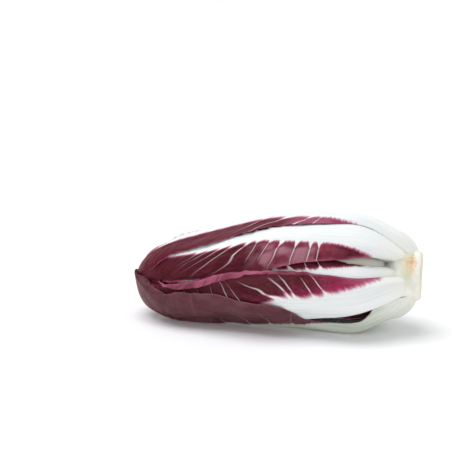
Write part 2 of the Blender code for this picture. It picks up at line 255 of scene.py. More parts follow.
# how the front lower leaf's upper edge is turned back
foldForm = {
    "at": (0.0, 0.3, 0.5, 0.72, 0.88, 1.0),
    "share": (0.0, 0.0, 0.7, 1.0, 0.5, 0.0),
    "radius": 1.7 * mm,
    "turn": math.radians(184),
    "edge": 0.5 * mm,
    "cageCells": 4,
}


def smoothInterp(x, stations, values):
    # a curve with no corners through values given at stations
    stations, values = np.asarray(stations, float), np.asarray(values, float)
    x = np.clip(x, stations[0], stations[-1])
    slopes = np.gradient(values, stations)
    k = np.clip(np.searchsorted(stations, x, side="right") - 1, 0, len(stations) - 2)
    width = stations[k + 1] - stations[k]
    t = (x - stations[k]) / width
    rise = values[k + 1] - values[k]
    start, end = slopes[k] * width, slopes[k + 1] * width
    return values[k] + t * (start + t * ((3 * rise - 2 * start - end) + t * (start + end - 2 * rise)))


def step(x, start, end):
    t = np.clip((x - start) / (end - start), 0, 1)
    return t * t * (3 - 2 * t)


def ramp(x, rate, drop=0):
    # grows at the rate, less the drop, and stays from 0 to 1
    return np.clip(rate * x - drop, 0, 1)


def grain(x, y, seed):
    # smooth noise from -1 to 1 over a plane
    table = np.random.default_rng(seed).uniform(-1, 1, (64, 64))
    i, j = np.floor(x).astype(int), np.floor(y).astype(int)
    s, t = x - i, y - j
    s, t = s * s * (3 - 2 * s), t * t * (3 - 2 * t)
    low = table[i % 64, j % 64] * (1 - s) + table[(i + 1) % 64, j % 64] * s
    high = table[i % 64, (j + 1) % 64] * (1 - s) + table[(i + 1) % 64, (j + 1) % 64] * s
    return low * (1 - t) + high * t


def outward(run, rib, aside):
    # the point of the axis line that a place is measured from, and the way out from it
    rootLean = np.clip((quarter - run) / shell, 0, None)
    tipLean = np.clip((run - quarter - spine) / shell, 0, None)
    angle = rib + aside
    start = np.zeros(run.shape + (3,))
    start[..., 0] = rootX - np.clip(run - quarter, 0, spine)
    rootWay = np.stack(
        [np.sin(rootLean), -np.cos(rootLean) * np.cos(angle), np.cos(rootLean) * np.sin(angle)], -1
    )
    tipWay = np.stack(
        [
            -np.cos(aside) * np.sin(tipLean),
            -np.cos(aside) * np.cos(tipLean) * np.cos(rib) + np.sin(aside) * np.sin(rib),
            np.cos(aside) * np.cos(tipLean) * np.sin(rib) + np.sin(aside) * np.cos(rib),
        ],
        -1,
    )
    return start, np.where((rootLean > 0)[..., None], rootWay, tipWay)


def placeOf(points):
    # the run, the angle round the head and the distance from the axis line
    startX = np.clip(points[..., 0], tipX, rootX)
    away = points - np.stack([startX, np.zeros_like(startX), np.zeros_like(startX)], -1)
    reach = np.linalg.norm(away, axis=-1)
    lean = np.arcsin(np.clip(away[..., 0] / reach, -1, 1))
    return quarter + rootX - startX - shell * lean, np.arctan2(away[..., 2], -away[..., 1]), reach


class Pile:
    # how far out the leaves that are already in place reach
    rows = 168
    columns = 180
    leastWidth = 0.02

    def __init__(self):
        self.reach = np.zeros((self.rows, self.columns))
        lean = np.abs(np.clip(np.linspace(-quarter, quarter + spine, self.rows), None, 0)) / shell
        lean += np.clip(np.linspace(-quarter - spine, quarter, self.rows), 0, None) / shell
        sweep = np.round(1 / np.maximum(np.cos(lean), self.leastWidth))
        self.sweep = np.clip(sweep, 1, self.columns // 4).astype(int)

    def cell(self, run, angle):
        row = np.clip(np.round(run / fullRun * (self.rows - 1)).astype(int), 0, self.rows - 1)
        return row, np.round(angle / (2 * np.pi) * self.columns).astype(int) % self.columns

    def add(self, points):
        run, angle, reach = placeOf(points)
        np.maximum.at(self.reach, self.cell(run, angle), reach)

    def widened(self, steps=1):
        grid = self.reach
        for _ in range(steps):
            grid = np.maximum(grid, np.maximum(np.roll(grid, 1, 1), np.roll(grid, -1, 1)))
            for row in np.nonzero(self.sweep > 1)[0]:
                for _ in range(self.sweep[row] - 1):
                    line = grid[row]
                    grid[row] = np.maximum(line, np.maximum(np.roll(line, 1), np.roll(line, -1)))
            padded = np.pad(grid, ((1, 1), (0, 0)), mode="edge")
            grid = np.maximum(grid, np.maximum(padded[:-2], padded[2:]))
        return grid

    def softened(self, steps):
        grid = self.widened(steps)
        for _ in range(steps):
            grid = (np.roll(grid, 1, 1) + 2 * grid + np.roll(grid, -1, 1)) / 4
            padded = np.pad(grid, ((1, 1), (0, 0)), mode="edge")
            grid = (padded[:-2] + 2 * grid + padded[2:]) / 4
        return grid


def surface(run, rib, aside, reach):
    start, way = outward(run, rib, aside)
    return start + reach[..., None] * way


def facets(grid, cuts=5):
    # points spread over the two triangles of every cell
    a, b, c, d = grid[:-1, :-1], grid[1:, :-1], grid[1:, 1:], grid[:-1, 1:]
    for i in range(cuts + 1):
        for j in range(cuts + 1):
            p, q = i / cuts, j / cuts
            yield a + p * (b - a) + q * (c - b) if p > q else a + q * (d - a) + p * (c - d)


def leafLines(leaf, along, side):
    # run, midrib angle, angle aside and distance aside of each corner of a leaf
    run = footRun + (leaf["reach"] * fullRun - footRun) * along - leafForm["tipBow"] * along**2 * side**2
    upper = smoothInterp(along, leafForm["widthAt"], leaf["upper"])
    lower = smoothInterp(along, leafForm["widthAt"], leaf["lower"])
    wave = np.sin(along * leafForm["waveTurns"] + leaf["phase"] + side)
    wave *= ramp(along, *leafForm["waveRamp"])
    aside = np.radians(np.where(side > 0, upper, lower)) * side * (1 + leafForm["edgeWave"] * wave)
    nearFoot = np.clip(1 - along / headShape["swingLength"], 0, 1) ** 2
    rib = np.radians(leaf["rib"] + leaf["twist"] * along**2 + leaf["swing"] * nearFoot)
    rootLean = np.clip((quarter - run) / shell, 0, None)
    radius = smoothInterp(run, shapeRuns, shapeReach) * np.cos(rootLean)
    return run, rib, aside, np.abs(aside) * radius


def ribRise(leaf, along, offRib):
    thick = leaf["stout"] * smoothInterp(along, leafForm["ribAt"], leafForm["ribThick"]) * mm
    half = leafForm["ribSpread"] * smoothInterp(along, leafForm["ribAt"], leafForm["ribHalf"]) * mm
    half *= 1 - leafForm["stoutWidth"] + leafForm["stoutWidth"] * leaf["stout"]
    return thick * np.clip(1 - (offRib / half) ** 2, 0, None) ** leafForm["ribCurve"]


def leafOutside(leaf, along, side, run, offRib):
    crown = np.clip(1 - (offRib / leafForm["crownHalf"]) ** 2, 0, None)
    crown *= ramp(along, leafForm["crownRate"])
    sink = side**2 * ramp(along, leafForm["sideRate"])
    lift = np.clip((np.abs(side) - leafForm["liftFrom"]) / (1 - leafForm["liftFrom"]), 0, 1) ** 2
    swing = np.sin(along * leafForm["liftTurns"] + leafForm["liftPhase"] * leaf["phase"])
    varied = 1 - leafForm["liftVaries"] + leafForm["liftVaries"] * swing
    lift *= varied * ramp(along, *leafForm["liftRamp"])
    reach = smoothInterp(run, shapeRuns, shapeReach) - leaf["depth"] * mm
    reach += leafForm["crown"] * crown - leafForm["sideSink"] * sink + leafForm["edgeLift"] * lift
    atFoot = np.clip(1 - along / headShape["footLength"], 0, 1) ** 2
    return reach + (leaf["foot"] * mm - reach) * atFoot


def bunched(share):
    # corners gather at the midrib and at the foot
    return np.sign(share) * np.abs(share) ** leafForm["bunch"]


def withFold(across, cells):
    # the cells across a leaf, and how far round the turned-back strip each of those past the edge is
    turned = np.append(np.zeros_like(across), np.arange(1, cells + 1) / max(cells, 1))
    return np.append(across, np.ones(cells)), turned


def cageCorners(leaf):
    across = bunched(np.linspace(-1, 1, 2 * leaf["sideCells"] + 1))
    across, turned = withFold(across, foldForm["cageCells"] if leaf["fold"] else 0)
    along, side = np.meshgrid(bunched(np.linspace(0, 1, leaf["rows"] + 1)), across, indexing="ij")
    return along, side, np.broadcast_to(turned, along.shape)


def turnEdge(leaf, turned, along, run, rib, aside, reach, thick):
    # the strip past the upper edge, turned back over the leaf's own outside
    share = np.clip(smoothInterp(along, foldForm["at"], foldForm["share"]), 0, 1)
    past = turned * (leaf["fold"] * mm * share + foldForm["edge"])
    bend = np.minimum(past / foldForm["radius"], foldForm["turn"] * share)
    straight = past - bend * foldForm["radius"]
    faces = []
    for raiseBy in (0, thick):
        radius = foldForm["radius"] - raiseBy
        sideways = radius * np.sin(bend) + straight * np.cos(bend)
        up = foldForm["radius"] - radius * np.cos(bend) + straight * np.sin(bend)
        faces.append(surface(run, rib, aside + sideways / reach, reach + up))
    return faces, past


def layCage(leaf, pile):
    # lays the leaf on those inside it, as the solid was laid, and keeps how far out its inside is
    along, side, turned = cageCorners(leaf)
    run, rib, aside, offRib = leafLines(leaf, along, side)
    thick = headShape["cageBlade"] + ribRise(leaf, along, offRib)
    wanted = leafOutside(leaf, along, side, run, offRib) - thick
    place = placeOf(surface(run, rib, aside, wanted))
    inside = pile.softened(leafForm["laySoftening"])[pile.cell(*place[:2])]
    reach = np.maximum(wanted, inside + headShape["clearance"])
    close = pile.widened(1)
    for _ in range(leafForm["layRounds"]):
        short = np.zeros_like(reach)
        for points in facets(surface(run, rib, aside, reach)):
            there = placeOf(points)
            lack = close[pile.cell(*there[:2])] + headShape["clearance"] - there[2]
            for rows in (slice(None, -1), slice(1, None)):
                for columns in (slice(None, -1), slice(1, None)):
                    short[rows, columns] = np.maximum(short[rows, columns], lack)
        if short.max() < leafForm["layWithin"]:
            break
        reach += np.clip(short, 0, None)
    faces = [surface(run, rib, aside, reach), surface(run, rib, aside, reach + thick)]
    if leaf["fold"]:
        faces, _ = turnEdge(leaf, turned, along, run, rib, aside, reach, thick)
        for points in facets(faces[0]):
            pile.add(points)
    for points in facets(faces[1]):
        pile.add(points)
    return reach[:, : 2 * leaf["sideCells"] + 1]


def setDown(points):
    # from the head's own straight axis line to how it lies
    x, y, z = np.moveaxis(points, -1, 0)
    droop = smoothInterp(x, np.array(headShape["droopAt"]) * mm, np.array(headShape["droop"]) * mm)
    along = np.minimum(x, buttX) + headShape["lengthShift"]
    height = z * headShape["flatter"] + headShape["axisHeight"] - droop
    return np.stack([along, y * headShape["wider"] + headShape["sideShift"], height], -1)


def between(values, at):
    # values at whole numbers along the first axis, read at places between them by a smooth curve
    last = len(values) - 1
    k = np.clip(np.floor(at).astype(int), 0, last - 1)
    t = (at - k).reshape((-1,) + (1,) * (values.ndim - 1))
    p0, p1, p2, p3 = (values[np.clip(k + i, 0, last)] for i in (-1, 0, 1, 2))
    return p1 + t / 2 * (p2 - p0 + t * (2 * p0 - 5 * p1 + 4 * p2 - p3 + t * (3 * (p1 - p2) + p3 - p0)))


def blurred(grid, steps):
    # along and across by turns
    for _ in range(2 * steps):
        padded = np.pad(grid, ((1, 1), (0, 0)), mode="edge")
        grid = ((padded[:-2] + 2 * padded[1:-1] + padded[2:]) / 4).T
    return grid


def gridNormals(points):
    normal = np.cross(np.gradient(points, axis=0), np.gradient(points, axis=1))
    return normal / np.maximum(np.linalg.norm(normal, axis=-1, keepdims=True), tiny)


def shownPiece(name, corners, faces, marks, material, node, slot):
    mesh = bpy.data.meshes.new(name)
    mesh.from_pydata(corners.tolist(), [], faces)
    triangles = [face[:3] for face in faces] + [(f[0], f[2], f[3]) for f in faces if len(f) == 4]
    triangles = np.array(triangles)
    a, b, c = (corners[triangles[:, i]] for i in range(3))
    if (a * np.cross(b, c)).sum() < 0:
        mesh.flip_normals()
    for label, values in marks.items():
        kind, field = ("FLOAT_VECTOR", "vector") if values.ndim == 2 else ("FLOAT", "value")
        mark = mesh.attributes.new(label, kind, "POINT")
        mark.data.foreach_set(field, values.astype(np.float32).ravel())
    mesh.shade_smooth()
    mesh.set_sharp_from_angle(angle=sharpAngle)
    mesh.materials.append(material)
    piece = bpy.data.objects.new(name, mesh)
    scene.collection.objects.link(piece)
    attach(piece, "root")
    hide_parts(node)
    return piece


def closedSheet(outside, inside, marks):
    # the outside is fine, the inside has every second corner each way, and a rim joins them
    rows, columns = outside.shape[:2]
    fine = np.arange(rows * columns).reshape(rows, columns)
    coarse = rows * columns + np.arange(((rows + 1) // 2) * ((columns + 1) // 2))
    coarse = coarse.reshape((rows + 1) // 2, (columns + 1) // 2)

    def quads(index, turn):
        a, b, c, d = index[:-1, :-1], index[1:, :-1], index[1:, 1:], index[:-1, 1:]
        order = (a, b, c, d) if turn else (d, c, b, a)
        return np.stack(order, -1).reshape(-1, 4).tolist()

    faces = quads(fine, True) + quads(coarse, False)
    ring = np.concatenate([fine[:-1, 0], fine[-1, :-1], fine[:0:-1, -1], fine[0, :0:-1]])
    core = np.concatenate([coarse[:-1, 0], coarse[-1, :-1], coarse[:0:-1, -1], coarse[0, :0:-1]])
    for i in range(len(core)):
        first, second = int(core[i]), int(core[(i + 1) % len(core)])
        p, q, r = (int(ring[(2 * i + j) % len(ring)]) for j in range(3))
        faces += [(first, q, p), (first, second, q), (second, r, q)]
    corners = np.concatenate([outside.reshape(-1, 3), inside[::2, ::2].reshape(-1, 3)])
    both = {}
    for label, grid in marks.items():
        shape = (-1, 3) if grid.ndim == 3 else (-1,)
        both[label] = np.concatenate([grid.reshape(shape), grid[::2, ::2].reshape(shape)])
    return corners, faces, both


# how the shown surfaces differ from the solids' slabs. Stretches are in millimetres from a leaf's foot or
# back from its tip. Noise along a margin has millimetres to a wave, a start for the upper half, and a row
skinForm = {
    "smoothing": 3, "plumpFrom": 0.2, "tipFrom": 0.8, "tipWaves": 4, "tipRow": 2.6,
    "raggedWaves": (5.5, 9, 3.3), "raggedFine": (2.1, 5, 7.7), "fineShare": 0.6,
    "rippleWaves": (9, 11, 1.5),
    "marginWidth": 7 * mm, "unevenRamp": (5, 1), "leastReach": 10 * mm, "leastWidth": 1 * mm,
    "fleshyFoot": (14, 40), "footSink": 0.35 * mm, "footGap": 0.3,
    "hug": 6.0 * mm, "lift": 2.5 * mm, "hugOver": 0.05 * mm, "hugWidth": 7 * mm, "hugCurve": 1.5,
    "hugFrom": (2, 8), "hugBeforeTip": (40, 15), "hugSmoothing": 2,
    "blade": 0.5 * mm, "bladeGap": 0.25 * mm, "edgeBlade": 0.22 * mm, "edgeWidth": 4 * mm,
    "ribEnds": 4.0, "ribEndsBeforeTip": (50, 6),
}
# where the side veins leave the rib of a leaf that names no places for them, and how veins are traced
veinForm = {"count": 15, "gaps": (10.5, 8.0), "uneven": (0.65, 1.35), "first": 44, "firstVaries": 12,
            "lowerDraw": 50, "upperNumber": 40, "past": 0.49, "rounds": 12, "leastRate": 0.02,
            "wander": (6, 7), "wanderFrom": 0.25}
# the shapes of veins and puckers. Waves are in millimetres, along and out, with a skew last
reliefForm = {
    "veinHalf": 0.75, "veinFrom": (-3, 2), "veinFades": 26, "bladeFrom": (0.5, 5), "edgeFrom": (0.5, 5),
    "puckerMean": 0.65, "puckerVaries": 0.5, "puckerWaves": (1.7, 9, 0.1),
    "wrinkleWaves": (4.6, 3.4, 0.3), "fineWrinkle": 0.5, "fineWaves": (2.2, 1.9, 0.2),
    "swellWaves": (17, 13), "swellFrom": (0.05, 0.2),
    "ribFrom": (0.2, 1.5), "ribFromFoot": (0.02, 0.1), "ridgeWaves": (1.6, 60),
    "ridgeBend": 0.2, "bendWaves": (20, 9), "bendSeed": 5,
    "foldSmooths": 0.8, "insideShare": 0.8, "insideLimits": (-0.4, 0.6),
}


def edgeGrain(kind, atLength, side, seed):
    wave, upperStart, row = skinForm[kind]
    place = atLength / wave + upperStart * (side > 0)
    return grain(place, np.full_like(place, row), seed)


def bySide(leaf, name, atLength, side):
    # a measure that is given for each half of the leaf, at the places in givenAt
    halves = [smoothInterp(atLength, leaf["givenAt"], leaf[name + half]) for half in ("Upper", "Lower")]
    return np.where(side > 0, *halves)


def fineGrid(leaf, cage):
    # the solid's inside, read at many more corners
    rowAt = np.linspace(0, leaf["rows"], leaf["fineRows"] + 1)
    columnAt = np.linspace(0, 2 * leaf["sideCells"], leaf["fineSide"] + 1)
    reach = between(between(cage, rowAt).T, columnAt).T
    reach = np.concatenate([reach, np.repeat(reach[:, -1:], leaf["foldCells"], 1)], 1)
    across, turned = withFold(bunched(columnAt / leaf["sideCells"] - 1), leaf["foldCells"])
    along, side = np.meshgrid(bunched(rowAt / leaf["rows"]), across, indexing="ij")
    return along, side, np.broadcast_to(turned, along.shape), blurred(reach, skinForm["smoothing"])


def settled(leaf, reach, below, atLength, length, edgeGap, awayFromFoot):
    # the margins lie on the leaves beneath them near the foot and the tip, and nothing cuts into those
    over = skinForm["hugOver"] - skinForm["footSink"] * (1 - awayFromFoot)
    room = blurred(reach - over - below, skinForm["hugSmoothing"])
    hugging = np.clip(1 - edgeGap / skinForm["hugWidth"], 0, 1) ** skinForm["hugCurve"]
    hugging *= step(atLength, *skinForm["hugFrom"])
    atTip = step(atLength, *[length - before for before in skinForm["hugBeforeTip"]])
    hugging *= 1 - step(atLength, *leaf["hugTo"]) * (1 - atTip)
    return reach - np.clip(room, 0, skinForm["hug"]) * hugging + np.clip(-room, 0, skinForm["lift"])


def veinStarts(leaf, upper):
    # where the side veins leave the rib, in millimetres from the foot
    given = leaf["veinsUpper"] if upper else leaf["veinsLower"]
    if given:
        return np.array(given, float)
    draw = np.random.default_rng(leaf["seed"] + (0 if upper else veinForm["lowerDraw"]))
    count = veinForm["count"]
    gaps = np.linspace(*veinForm["gaps"], count) * draw.uniform(*veinForm["uneven"], count)
    return veinForm["first"] + draw.uniform(0, veinForm["firstVaries"]) + np.cumsum(gaps)


def veinField(leaf, atLength, v, length):
    # for every corner: how far past the rib's white it is, the place on the rib that its vein leaves from,
    # the number of that vein, with a fraction between veins, and the distance between veins there
    atTip = step(atLength, *[length - before for before in skinForm["ribEndsBeforeTip"]])
    beyond = np.abs(v) - bySide(leaf, "white", atLength, v) + skinForm["ribEnds"] * atTip
    u = np.clip(beyond, 0, None)
    start = atLength.copy()
    for _ in range(veinForm["rounds"]):
        start = (start + atLength - smoothInterp(start, leaf["leanAt"], leaf["lean"]) * u) / 2
    veins, spacing = np.zeros_like(start), np.zeros_like(start)
    past = veinForm["past"]
    for upper in (True, False):
        places = veinStarts(leaf, upper)
        firstGap, lastGap = places[1] - places[0], places[-1] - places[-2]
        ends = np.concatenate([[places[0] - past * firstGap], places, [places[-1] + past * lastGap]])
        counts = np.concatenate([[-past], np.arange(len(places)), [len(places) - 1 + past]])
        rate = np.interp(start + 0.5, ends, counts) - np.interp(start - 0.5, ends, counts)
        chosen = (v > 0) == upper
        number = np.interp(start, ends, counts) + (veinForm["upperNumber"] if upper else 0)
        veins = np.where(chosen, number, veins)
        spacing = np.where(chosen, 1 / np.maximum(rate, veinForm["leastRate"]), spacing)
    spacing = spacing / np.hypot(1, smoothInterp(start, leaf["leanAt"], leaf["lean"]))
    alongWave, outWave = veinForm["wander"]
    bends = grain(start / alongWave, u / outWave, leaf["seed"] + 11) * ramp(u, veinForm["wanderFrom"])
    return beyond, start, veins + leaf["wander"] * bends / spacing, spacing


def relief(leaf, along, atLength, v, field, rise, clear):
    # raised veins, puckered and wrinkled blade between them, and a swelling, ridged rib, in millimetres
    form, seed = reliefForm, leaf["seed"]
    beyond, _, veins, spacing = field
    u = np.clip(beyond, 0, None)
    near = np.abs(veins - np.round(veins)) * spacing
    ridge = leaf["veinRise"] * np.exp(-((near / form["veinHalf"]) ** 2)) * step(beyond, *form["veinFrom"])
    ridge *= np.exp(-u / form["veinFades"])
    inBlade = step(beyond, *form["bladeFrom"]) * clear
    perVein, wave, skew = form["puckerWaves"]
    uneven = grain(veins * perVein + 3, u / wave + skew * atLength, seed + 4)
    betweenVeins = 0.5 - 0.5 * np.cos(2 * np.pi * veins)
    pucker = leaf["pucker"] * betweenVeins * (form["puckerMean"] + form["puckerVaries"] * uneven)
    pucker *= inBlade
    alongWave, outWave, skew = form["wrinkleWaves"]
    wrinkle = grain(atLength / alongWave + skew * v, v / outWave, seed + 5)
    alongWave, outWave, skew = form["fineWaves"]
    wrinkle += form["fineWrinkle"] * grain(atLength / alongWave, v / outWave + skew * atLength, seed + 6)
    wrinkle *= leaf["wrinkle"] * inBlade
    alongWave, outWave = form["swellWaves"]
    swell = leaf["swell"] * grain(atLength / alongWave, v / outWave, seed + 8)
    swell *= step(along, *form["swellFrom"])
    alongWave, outWave = form["bendWaves"]
    bends = form["ridgeBend"] * grain(atLength / alongWave, v / outWave, form["bendSeed"])
    ridgeWave, alongWave = form["ridgeWaves"]
    onRib = step(rise / mm, *form["ribFrom"]) * step(along, *form["ribFromFoot"])
    ridges = leaf["ribLines"] * onRib * grain(v / ridgeWave + bends, atLength / alongWave, seed + 9)
    sag = np.clip(pucker + wrinkle, *form["insideLimits"]) + swell
    return ridge + pucker + wrinkle + swell + ridges, sag


def pressFlat(outer, inner):
    # the underside is pressed flat where the head rests on it
    z = outer[..., 2]
    low = np.interp(z, [headShape["press"], headShape["pressReach"]], [0, headShape["pressReach"]])
    outer[..., 2] = np.maximum(np.where(z < headShape["pressReach"], low, z), 0)
    inner[..., 2] = np.maximum(inner[..., 2], headShape["pressedBlade"])


def fineLeaf(leaf, cage, shown):
    # the leaf's shown surfaces, and what its material needs to know at each corner
    along, side, turned, reach = fineGrid(leaf, cage)
    run, rib, aside, offRib = leafLines(leaf, along, side)
    length = (leaf["reach"] * fullRun - footRun) / mm
    atLength = along * length
    plump = smoothInterp(atLength, leaf["givenAt"], leaf["plump"]) * mm
    reach = reach + plump * step(-side, skinForm["plumpFrom"], 1)

    # the margins are trimmed to where the photo has them, then made ragged and rippled
    uneven = grain(side * skinForm["tipWaves"], np.full_like(side, skinForm["tipRow"]), leaf["seed"])
    tipShift = leaf["tipMore"] + leaf["tipUneven"] * uneven
    run = run + tipShift * mm * step(along, skinForm["tipFrom"], 1)
    upperEdge = leaf["fineSide"]
    sideWidth = np.where(side > 0, offRib[:, upperEdge : upperEdge + 1], offRib[:, :1])
    kept = 1 - bySide(leaf, "trim", atLength, side) * mm / np.maximum(sideWidth, skinForm["leastWidth"])
    aside, offRib = aside * kept, offRib * kept
    edgeGap = (1 - np.abs(side)) * np.maximum(offRib.max(axis=1, keepdims=True), tiny)
    nearEdge = np.clip(1 - edgeGap / skinForm["marginWidth"], 0, 1) ** 2
    grown = ramp(along, *skinForm["unevenRamp"])
    ragged = edgeGrain("raggedWaves", atLength, side, leaf["seed"] + 1)
    ragged += skinForm["fineShare"] * edgeGrain("raggedFine", atLength, side, leaf["seed"] + 2)
    shift = leaf["ragged"] * mm * ragged * nearEdge * grown
    aside = aside + np.sign(side) * shift / np.maximum(reach, skinForm["leastReach"])
    ripple = edgeGrain("rippleWaves", atLength, side, leaf["seed"] + 3)
    reach = reach + leaf["ripple"] * mm * ripple * nearEdge * grown * (turned == 0)

    # near the foot the margins are fleshy and lie close, further out they are thin
    awayFromFoot = step(atLength, *skinForm["fleshyFoot"])
    below = np.where(shown.reach > 0, shown.reach, shown.widened(1))
    below = below[shown.cell(*placeOf(surface(run, rib, aside, reach))[:2])]
    reach = settled(leaf, reach, below, atLength, length, edgeGap, awayFromFoot)
    reach = reach + skinForm["bladeGap"] * (skinForm["footGap"] + (1 - skinForm["footGap"]) * awayFromFoot)
    inwards = step(edgeGap, 0, skinForm["edgeWidth"])
    rise = ribRise(leaf, along, offRib)
    thick = skinForm["edgeBlade"] + (skinForm["blade"] - skinForm["edgeBlade"]) * inwards + rise
    inner, outer = surface(run, rib, aside, reach), surface(run, rib, aside, reach + thick)
    past = np.zeros_like(along)
    if leaf["fold"]:
        (inner, outer), past = turnEdge(leaf, turned, along, run, rib, aside, reach, thick)
    shown.add(outer)
    inner, outer = setDown(inner), setDown(outer)

    v = np.sign(side) * (offRib + past) / mm
    field = veinField(leaf, atLength, v, length)
    clear = step(edgeGap / mm, *reliefForm["edgeFrom"]) * (turned == 0)
    height, sag = relief(leaf, along, atLength, v, field, rise, clear)
    normal = gridNormals(outer)
    normal *= np.sign((normal * (outer - inner)).sum(-1, keepdims=True).mean())
    outer = outer + normal * (height * mm * (1 - reliefForm["foldSmooths"] * turned))[..., None]
    inner = inner + normal * (sag * mm * reliefForm["insideShare"])[..., None]
    if leaf["pressed"]:
        pressFlat(outer, inner)
    beyond, start, veins, spacing = field
    marks = {
        "leafAt": np.stack([atLength, v, start], -1),
        "veinAt": np.stack([veins, spacing, beyond], -1),
        "toEdge": edgeGap / mm * (turned == 0),
    }
    return outer, inner, marks


# the leaves' material. The noises are given as scale along, scale out from the rib, detail and roughness,
# and what fades along or out from the rib is in millimetres
basePaint = {
    "bright": linear(132, 30, 58), "deep": linear(76, 10, 22), "sheen": linear(150, 92, 108),
    "halo": linear(180, 84, 116), "rib": linear(242, 244, 243), "ribShade": linear(232, 236, 235),
    "foot": linear(241, 241, 232), "footFade": (34, 8), "footShare": 0.8,
    "streaks": (0.55, 0.10, 5.0, 0.65), "feather": 4.2, "soft": 2.8, "softInside": 0.6,
    "wedge": 4.5, "wedgeHalf": 2.4, "wedgeLeast": 0.4, "wedgeVaries": 1.1,
    "veinHalf": 0.42, "veinTaper": 0.7, "veinLeast": 0.6, "veinVaries": 0.8, "veinSoft": 0.2,
    "veinCore": 0.3, "veinLength": 26.0, "veinWhite": 0.85, "veinEnd": 185.0, "veinLast": 70,
    "veinPink": 0.55,
    "net": 0.12, "netScale": 0.27, "netLine": (0.10, 0.01), "netFades": 0.5, "netBump": 0.8,
    "netDip": 0.35, "warp": (0.30, 2.0), "warpOut": 1.6,
    "clouds": (0.06, 0.10, 4.0, 0.55), "cloudFade": (0.32, 0.68), "cloudDeep": 0.55,
    "deepFade": (60, 130), "tipDeep": 0.4, "outDeep": 0.25, "outFade": (3, 20),
    "rootFade": (66, 40), "rootDeep": 0.5,
    # patches, sheen and the keys after them set the painted sheen: pale lavender patches on the blade that
    # stand in for reflections of the light
    "patches": (0.10, 0.09, 1.5, 0.5), "patchShift": 3, "patchFade": (0.34, 0.62), "bloom": 0.3,
    "bloomFrom": (20, 40), "bloomTo": (200, 150), "bloomOut": (0.5, 7.0), "bloomAtVein": 0.35,
    "veinClear": 0.25, "speckle": (1.3, 4.0, 0.7), "speckleFade": (0.35, 0.75), "speckleShare": 0.30,
    "paleFrom": (52, 30), "pale": 0.0,
    "rim": 0.45, "rimWidth": 1.3, "rimLine": 0.2, "rimFade": (0.38, 0.6), "rimVaries": 0.7,
    "rimLeast": 0.5, "ribTones": (0.022, 0.55, 4.0, 0.6), "toneFade": (0.38, 0.72),
    "fibres": (0.05, 2.2, 3.0, 0.6), "fibreBump": 0.6, "skin": (2.4, 3.0, 0.6), "ribSmooth": 0.7,
    "pinkFade": (0.0, 0.9), "haloFade": (0.0, 0.45), "whiteFade": (0.3, 1.0),
    "rough": 0.42, "cloudRough": 0.12, "ribRough": 0.05,
    "subsurface": 0.12, "bleed": (1.0, 0.6, 0.45), "bleedDepth": 0.002, "bump": 0.12 * mm, "gloss": 0.15,
}


